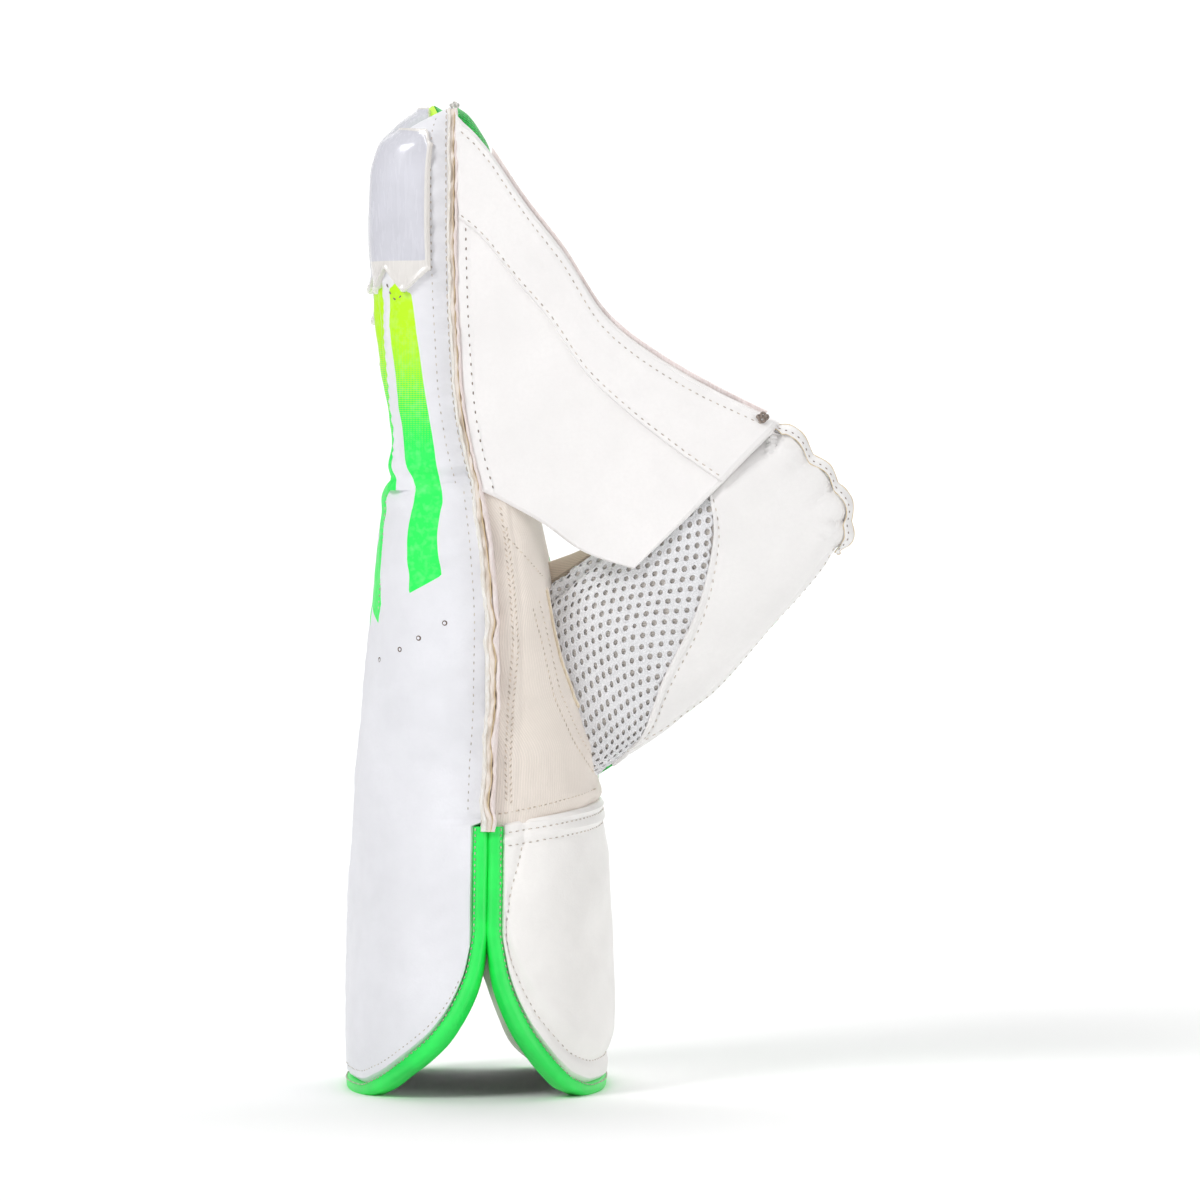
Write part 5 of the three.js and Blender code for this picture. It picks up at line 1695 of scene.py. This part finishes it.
class GLOVE_OT_thumb(GlovePiece, bpy.types.Operator):
    """Thumb: airy mesh, leather panel, rubber inner side and the gathered tip"""

    bl_idname = "glove.thumb"
    bl_label = "Thumb"

    def build(self):
        self.leather_panel()
        self.mesh_panel()
        self.rubber_side()
        self.gather()

    def leather_panel(self):
        def place(s, t):
            at = mix(-0.1, 1.0, t**0.9)
            return mix(leather_low(at), 1.0, s), at

        sheet = outward(Cloth(moved(thumb, 1, -0.6), 84, steps(124), place))
        at, turn = sheet.v, sheet.u
        line, _, lobe = self.tip_line()
        away = sheet.p[..., None, [0, 2]] - line[::3][None, None][..., [0, 2]]
        gap = np.linalg.norm(away, axis=-1)
        gone, which = gap.min(-1), lobe[::3][gap.argmin(-1)]
        relief = -1.5 * (1 - which) ** 2 * np.exp(-gone / 7.5) + 0.55 * which * hump(gone, 5, 5)
        relief += sheet.uneven((0.4, 75, 28), (0.14, 76, 9))
        relief += 0.5 * hump(turn - 0.7 * at, 0.35, 0.12) * ramp(at, 0.1, 0.4)
        relief += -0.8 * hump(sheet.right, 4.2, 0.9) * ramp(0.9 - at, 0, 0.1)
        relief += -0.5 * hump(sheet.left, 2.4, 0.8) * ramp(0.7 - at, 0, 0.05)
        relief += sheet.rounded(1.1, "left", "right", "high") + 0.5 * ramp(3 - sheet.left, 0, 2)
        piece = sheet.make("thumb_leather_panel", relief, 2.2, "thumb")
        ready(piece, "cuff_leather", "thumb_leather")
        t = np.linspace(0.02, 0.985, 160)
        beside = t[t < 0.74]
        line = sheet.sample(2.4 / sheet.width_at(beside), beside, relief)
        stitch("thumb", line, 2.9, 0.5, 0.22, 0.08, 77)
        line = sheet.sample(1 - 4.2 / sheet.width_at(t), t, relief)
        stitch("thumb", line, 2.7, 0.5, 0.22, 0.1, 78)
        sew("thumb", "thumb_stitches", "thread_beige", "cuff_leather")

    def mesh_panel(self):
        """White spacer mesh: a sheet of yarn rings over a beige backing."""

        def place(s, t):
            at = mix(-0.2, 0.745, t)
            return mix(-1.0, mesh_turn(at) + 0.035, s), at

        sheet = outward(Cloth(moved(thumb, 1, -0.6), 80, 96, place))
        relief = self.mesh_folds(sheet) - 1.5
        piece = sheet.make("thumb_mesh_backing", relief, 0.9, "mesh_back")
        ready(piece, "airy_mesh", "thumb_mesh")
        declare(sheet)
        self.rings(sheet, relief + 0.5)

    def mesh_folds(self, sheet):
        """Folded creases beside the gusset."""
        at = sheet.v
        near = hump(sheet.left, 6, 7) * ramp(0.5 - at, 0, 0.25)
        fold = 1.2 * np.sin(sheet.left * 2 * np.pi / 5.6 + at * 9)
        return near * fold + sheet.uneven((0.3, 79, 16))

    def rings(self, sheet, relief):
        """Lays a lattice of open cells over the sheet, flat in its own lengths."""
        pitch = sizes().mesh_pitch / MM
        a, b = sheet.a, sheet.b
        rows = np.arange(b.min(), b.max(), pitch * 0.866)
        centres = []
        for i, v in enumerate(rows):
            for u in np.arange(a.min(), a.max(), pitch):
                centres.append((u + (pitch / 2 if i % 2 else 0), v))
        centres = np.array(centres)
        t = np.interp(centres[:, 1], b[:, b.shape[1] // 2], sheet.t[:, 0])
        low = np.array([np.interp(x, sheet.t[:, 0], a[:, 0]) for x in t])
        high = np.array([np.interp(x, sheet.t[:, 0], a[:, -1]) for x in t])
        inside = (centres[:, 0] > low + 0.8) & (centres[:, 0] < high - 0.4)
        inside &= (centres[:, 1] > 1) & (centres[:, 1] < b.max() - 2)
        centres = centres[inside]
        step = np.pi / 6
        angle = np.arange(12) * step + step
        outer = pitch / 2 / np.cos((angle + step) % (2 * step) - step)
        stretch = 1 + 0.06 * np.random.default_rng(80).normal(size=(len(centres), 1))
        rings = []
        for r, level, wide, tall in (
            (outer[None], 0.35, 1, 1),
            (0.35 * pitch * stretch, 0.61, 0.92, 1.27),
            (0.25 * pitch * stretch, 0.55, 0.92, 1.27),
            (0.215 * pitch * stretch, 0.05, 0.92, 1.27),
        ):
            u = centres[:, :1] + r * np.cos(angle) * wide
            v = centres[:, 1:] + r * np.sin(angle) * tall
            rings.append(self.lay(sheet, relief, u, v, level))
        points = np.stack(rings, 1).reshape(-1, 3)
        faces = repeated(4, 12, len(centres), closed=False)
        piece = finish_mesh("thumb_mesh_yarn", points, faces, "mesh", np.zeros((len(points), 2)))
        weld(piece, 0.00025)
        thick = piece.modifiers.new("yarn", "SOLIDIFY")
        thick.thickness, thick.offset = 0.0003, -1.0
        bpy.ops.object.modifier_apply(modifier="yarn")
        ready(piece, "airy_mesh")

    def lay(self, sheet, relief, u, v, lift):
        """Points at lengths u, v of the sheet, raised by lift."""
        rows, columns = sheet.s.shape
        t = np.interp(v, sheet.b[:, columns // 2], sheet.t[:, 0])
        y = t * (rows - 1)
        i = np.clip(y.astype(int), 0, rows - 2)
        f = y - i
        low, high = sheet.a[:, 0], sheet.a[:, -1]
        left, right = mix(low[i], low[i + 1], f), mix(high[i], high[i + 1], f)
        s = np.clip((u - left) / (right - left), 0, 1)
        return sheet.sample(s, t, relief, lift)[0]

    def rubber_side(self):
        def place(s, t):
            return mix(1.0, 3.0, s), mix(-0.2, 1.0, t)

        sheet = outward(Cloth(moved(thumb, 1, 0.6), 72, steps(120), place))
        relief = sheet.uneven((0.45, 83, 24)) + sheet.rounded(1.0, "left", "right", "high")
        relief -= 1.5 * ramp(sheet.v, 0.72, 0.9)
        bent = sheet.v + 0.015 * wander(sheet.a, 84, 8)
        for joint in (0.42, 0.46, 0.7, 0.73):
            relief += -0.7 * hump(bent, joint, 0.012) + 0.35 * hump(bent, joint + 0.02, 0.014)
        piece = sheet.make("thumb_rubber", relief, 2.2, "palm")
        turn = np.linspace(0, 4, 64, endpoint=False)
        rows = np.linspace(CUFF * 0.9, KNUCKLES, 16)
        cut_out(piece, [body(turn, np.full(64, z)) for z in rows])
        refinish(piece, (photo_x(590), 0.0, ROOT_Z), (1.0, 0.0, -0.35), "crotch")
        ready(piece, "palm_rubber", "thumb_palm")

    def tip_line(self):
        """Line round the tip, its outward directions, and how full the ruffle is, from 0 to 1."""
        up = np.stack([np.full(12, 3.0), np.linspace(0.955, 1, 12)], 1)
        over = np.stack([np.linspace(3, 5, 30), np.full(30, 1.0)], 1)[1:-1]
        down = np.stack([np.full(16, 1.0), np.linspace(1, 0.86, 16)], 1)
        path = np.concatenate([up, over, down])
        line = thumb(path[:, 0], path[:, 1])
        line[:, 1] = thumb_row(path[:, 1])[5]
        line = even(line, 0.45)
        for _ in range(12):
            line[1:-1] = 0.25 * line[:-2] + 0.5 * line[1:-1] + 0.25 * line[2:]
        forward = unit(np.gradient(line, axis=0))
        out = unit(np.cross(np.array([0.0, -1.0, 0.0]), forward))
        if np.sum(out * (line - line.mean(0))) < 0:
            out = -out
        pinches = []
        for px, py in PINCHES:
            off = (line[:, 0] - photo_x(px)) ** 2 + (line[:, 2] - photo_z(py)) ** 2
            pinches.append(off.argmin() / (len(line) - 1))
        share = np.linspace(0, 1, len(line))
        beat = np.interp(share, [0] + pinches + [1], np.arange(len(pinches) + 2))
        return line, out, (0.5 - 0.5 * np.cos(2 * np.pi * beat)) ** 0.7

    def gather(self):
        """Ruffled strip sewn round the tip and drawn up by its thread."""
        line, out, lobe = self.tip_line()
        side = np.array([0.0, -1.0, 0.0])
        run = np.linspace(0, 1, len(line))
        full = np.minimum(1, 0.35 + np.minimum(run, 1 - run) * 9)
        slide = np.gradient(lobe)
        slide = 0.9 * slide / np.abs(slide).max()
        far = (0.9 + sizes().ruffle_height / MM * lobe) * full
        late = np.interp(run - 0.025, run, far)
        near = late - (3.0 + 0.25 * wander(run * 60, 88, 5)) * full
        ring = (
            (0.0, 3.9), (0.12, 4.3), (0.4, 3.9), (0.8, 2.5), (1.0, 1.3),
            (1.0, -1.3), (0.8, -2.5), (0.4, -3.9), (0.12, -4.3), (0.0, -3.9),
        )
        sections = []
        for i in range(len(line)):
            middle = line[i] + side * slide[i] * full[i]
            sections.append(
                [middle + out[i] * mix(near[i], far[i], o) + side * h * full[i] for o, h in ring]
            )
        sections = np.array(sections)
        piece = strip_mesh("thumb_gather_leather", sections, "thumb", 75)
        ready(piece, "cuff_leather", "thumb_gather")
        for name, i, j in (("inner", 1, 0), ("outer", 4, 4), ("rear", 8, 8)):
            self.waxed(name, (sections[:, i] + sections[:, j]) / 2, run)
        p = mix(sections[:, 1], sections[:, 3], 0.45) + side * 0.35
        stitch("gather", (p, unit(side + 0.3 * out)), 2.3, 0.4, 0.2, 0.05, 89)
        sew("gather", "thumb_gather_stitches", "thread_dark", "cuff_leather")
        corner = web(np.array(0.955), np.array(0.985))
        tie("start_thread_knot", corner + side * 3.4, "thread_dark", 1.3)

    def waxed(self, name, p, run):
        """Thin waxed edge along the strip, coming and going."""
        size = 0.15 + 0.05 * wander(run * 90, 90, 3)
        wide, high = round_section(1.0, 1.0, 2, 6)
        forward = unit(np.gradient(p, axis=0))
        side = np.broadcast_to(np.array([0.0, -1.0, 0.0]), p.shape)
        flat = unit(np.cross(forward, side))
        sections = carried(p, side, flat, wide[None] * size[:, None], high[None] * size[:, None])
        ready(strip_mesh("thumb_gather_" + name + "_edge", sections, "edge_ochre"), "raw_edge")


# ---------------------------------------------------------------- stage


class GLOVE_OT_stage(GlovePiece, bpy.types.Operator):
    """Pale floor and wall, soft lights and the camera"""

    bl_idname = "glove.stage"
    bl_label = "Stage"

    def build(self):
        floor = Finish("pale floor", Roughness=0.9, Specular_IOR_Level=0.1)
        tone = floor.noise(floor.place(), 3.0, 2.0)
        floor.set("Base Color", floor.blend(tone, (0.96, 0.96, 0.96, 1), (0.98, 0.98, 0.98, 1)))
        bpy.ops.object.select_all(action="DESELECT")
        bpy.ops.mesh.primitive_plane_add(size=1, location=(0, 0, 0))
        ground = bpy.context.object
        ground.name = "floor"
        profile = [(-1.7, 0.0), (1.2, 0.0)]
        for k in range(1, 13):
            a = k * math.pi / 24
            profile.append((1.2 + 1.6 * math.sin(a), 1.6 - 1.6 * math.cos(a)))
        profile.append((2.8, 5.0))
        points = [(x, y, z) for y, z in profile for x in (-6.0, 6.0)]
        faces = [(2 * i, 2 * i + 1, 2 * i + 3, 2 * i + 2) for i in range(len(profile) - 1)]
        ground.data.clear_geometry()
        ground.data.from_pydata(points, [], faces)
        bpy.ops.object.shade_smooth()
        ground.data.materials.append(floor.material)
        self.light("key", (-1.3, -1.4, 1.5), 0.9, 24.5)
        self.light("fill", (1.6, -1.3, 0.7), 1.6, 13)
        self.light("top", (0.1, 0.3, 2.1), 1.6, 6)
        self.light("low", (-0.1, -1.3, 0.14), 0.8, 0.6, (0, 0, 0.04))
        self.light("rear", (0.3, 1.2, 2.6), 2.4, 42, (0.3, 2.6, 0.6))
        self.world()
        bpy.context.scene.view_settings.view_transform = "Standard"
        self.camera()

    def world(self):
        """Soft light from all round, paler where the camera looks past the floor."""
        world = bpy.data.worlds.new("studio")
        world.use_nodes = True
        tree = world.node_tree
        ray = tree.nodes.new("ShaderNodeLightPath")
        level = tree.nodes.new("ShaderNodeMapRange")
        level.inputs[3].default_value, level.inputs[4].default_value = 0.31, 0.88
        back = tree.nodes["Background"]
        back.inputs[0].default_value = (1, 1, 1, 1)
        tree.links.new(ray.outputs["Is Camera Ray"], level.inputs[0])
        tree.links.new(level.outputs[0], back.inputs[1])
        bpy.context.scene.world = world

    def light(self, name, place, size, power, aim=(0, 0, 0.15)):
        data = bpy.data.lights.new(name, "AREA")
        data.shape, data.size, data.energy = "DISK", size, power
        lamp = bpy.data.objects.new(name, data)
        bpy.context.scene.collection.objects.link(lamp)
        lamp.location = place
        lamp.rotation_euler = (Vector(aim) - Vector(place)).to_track_quat("-Z", "Y").to_euler()

    def camera(self):
        distance = sizes().camera_distance
        aim = Vector(((38.4 + SHIFT[0]) * MM, -0.035, 158.4 * MM))
        tilt = math.radians(1.6)
        data = bpy.data.cameras.new("camera")
        data.sensor_width = 36
        data.lens = 36 * distance / (1200 * PHOTO_MM * MM)
        data.clip_start, data.clip_end = 0.05, 60
        lens = bpy.data.objects.new("camera", data)
        bpy.context.scene.collection.objects.link(lens)
        lens.location = aim + Vector((0, -math.cos(tilt), math.sin(tilt))) * distance
        lens.rotation_euler = (aim - lens.location).to_track_quat("-Z", "Y").to_euler()
        bpy.context.scene.camera = lens


class GLOVE_PT_panel(bpy.types.Panel):
    """Sizes, colours and pieces of the glove"""

    bl_idname = "GLOVE_PT_panel"
    bl_label = "Wicketkeeping Glove"
    bl_space_type = "VIEW_3D"
    bl_region_type = "UI"
    bl_category = "Glove"

    def draw(self, context):
        for group in (context.scene.glove_sizes, context.scene.glove_colours):
            box = self.layout.box()
            for key in group.__annotations__:
                box.prop(group, key)
        for operator in OPERATORS:
            self.layout.operator(operator.bl_idname)


OPERATORS = (
    GLOVE_OT_stage,
    GLOVE_OT_back_panel,
    GLOVE_OT_finger_backs,
    GLOVE_OT_cuff,
    GLOVE_OT_hand_sides,
    GLOVE_OT_side_seams,
    GLOVE_OT_guards,
    GLOVE_OT_web,
    GLOVE_OT_thumb,
)
CLASSES = (GloveSizes, GloveColours) + OPERATORS + (GLOVE_PT_panel,)


def register():
    for cls in CLASSES:
        bpy.utils.register_class(cls)
    bpy.types.Scene.glove_sizes = PointerProperty(type=GloveSizes)
    bpy.types.Scene.glove_colours = PointerProperty(type=GloveColours)


def unregister():
    del bpy.types.Scene.glove_colours
    del bpy.types.Scene.glove_sizes
    for cls in reversed(CLASSES):
        bpy.utils.unregister_class(cls)


def main():
    register()
    for operator in OPERATORS:
        group, name = operator.bl_idname.split(".")
        getattr(getattr(bpy.ops, group), name)()
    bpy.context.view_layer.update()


if __name__ == "__main__":
    main()
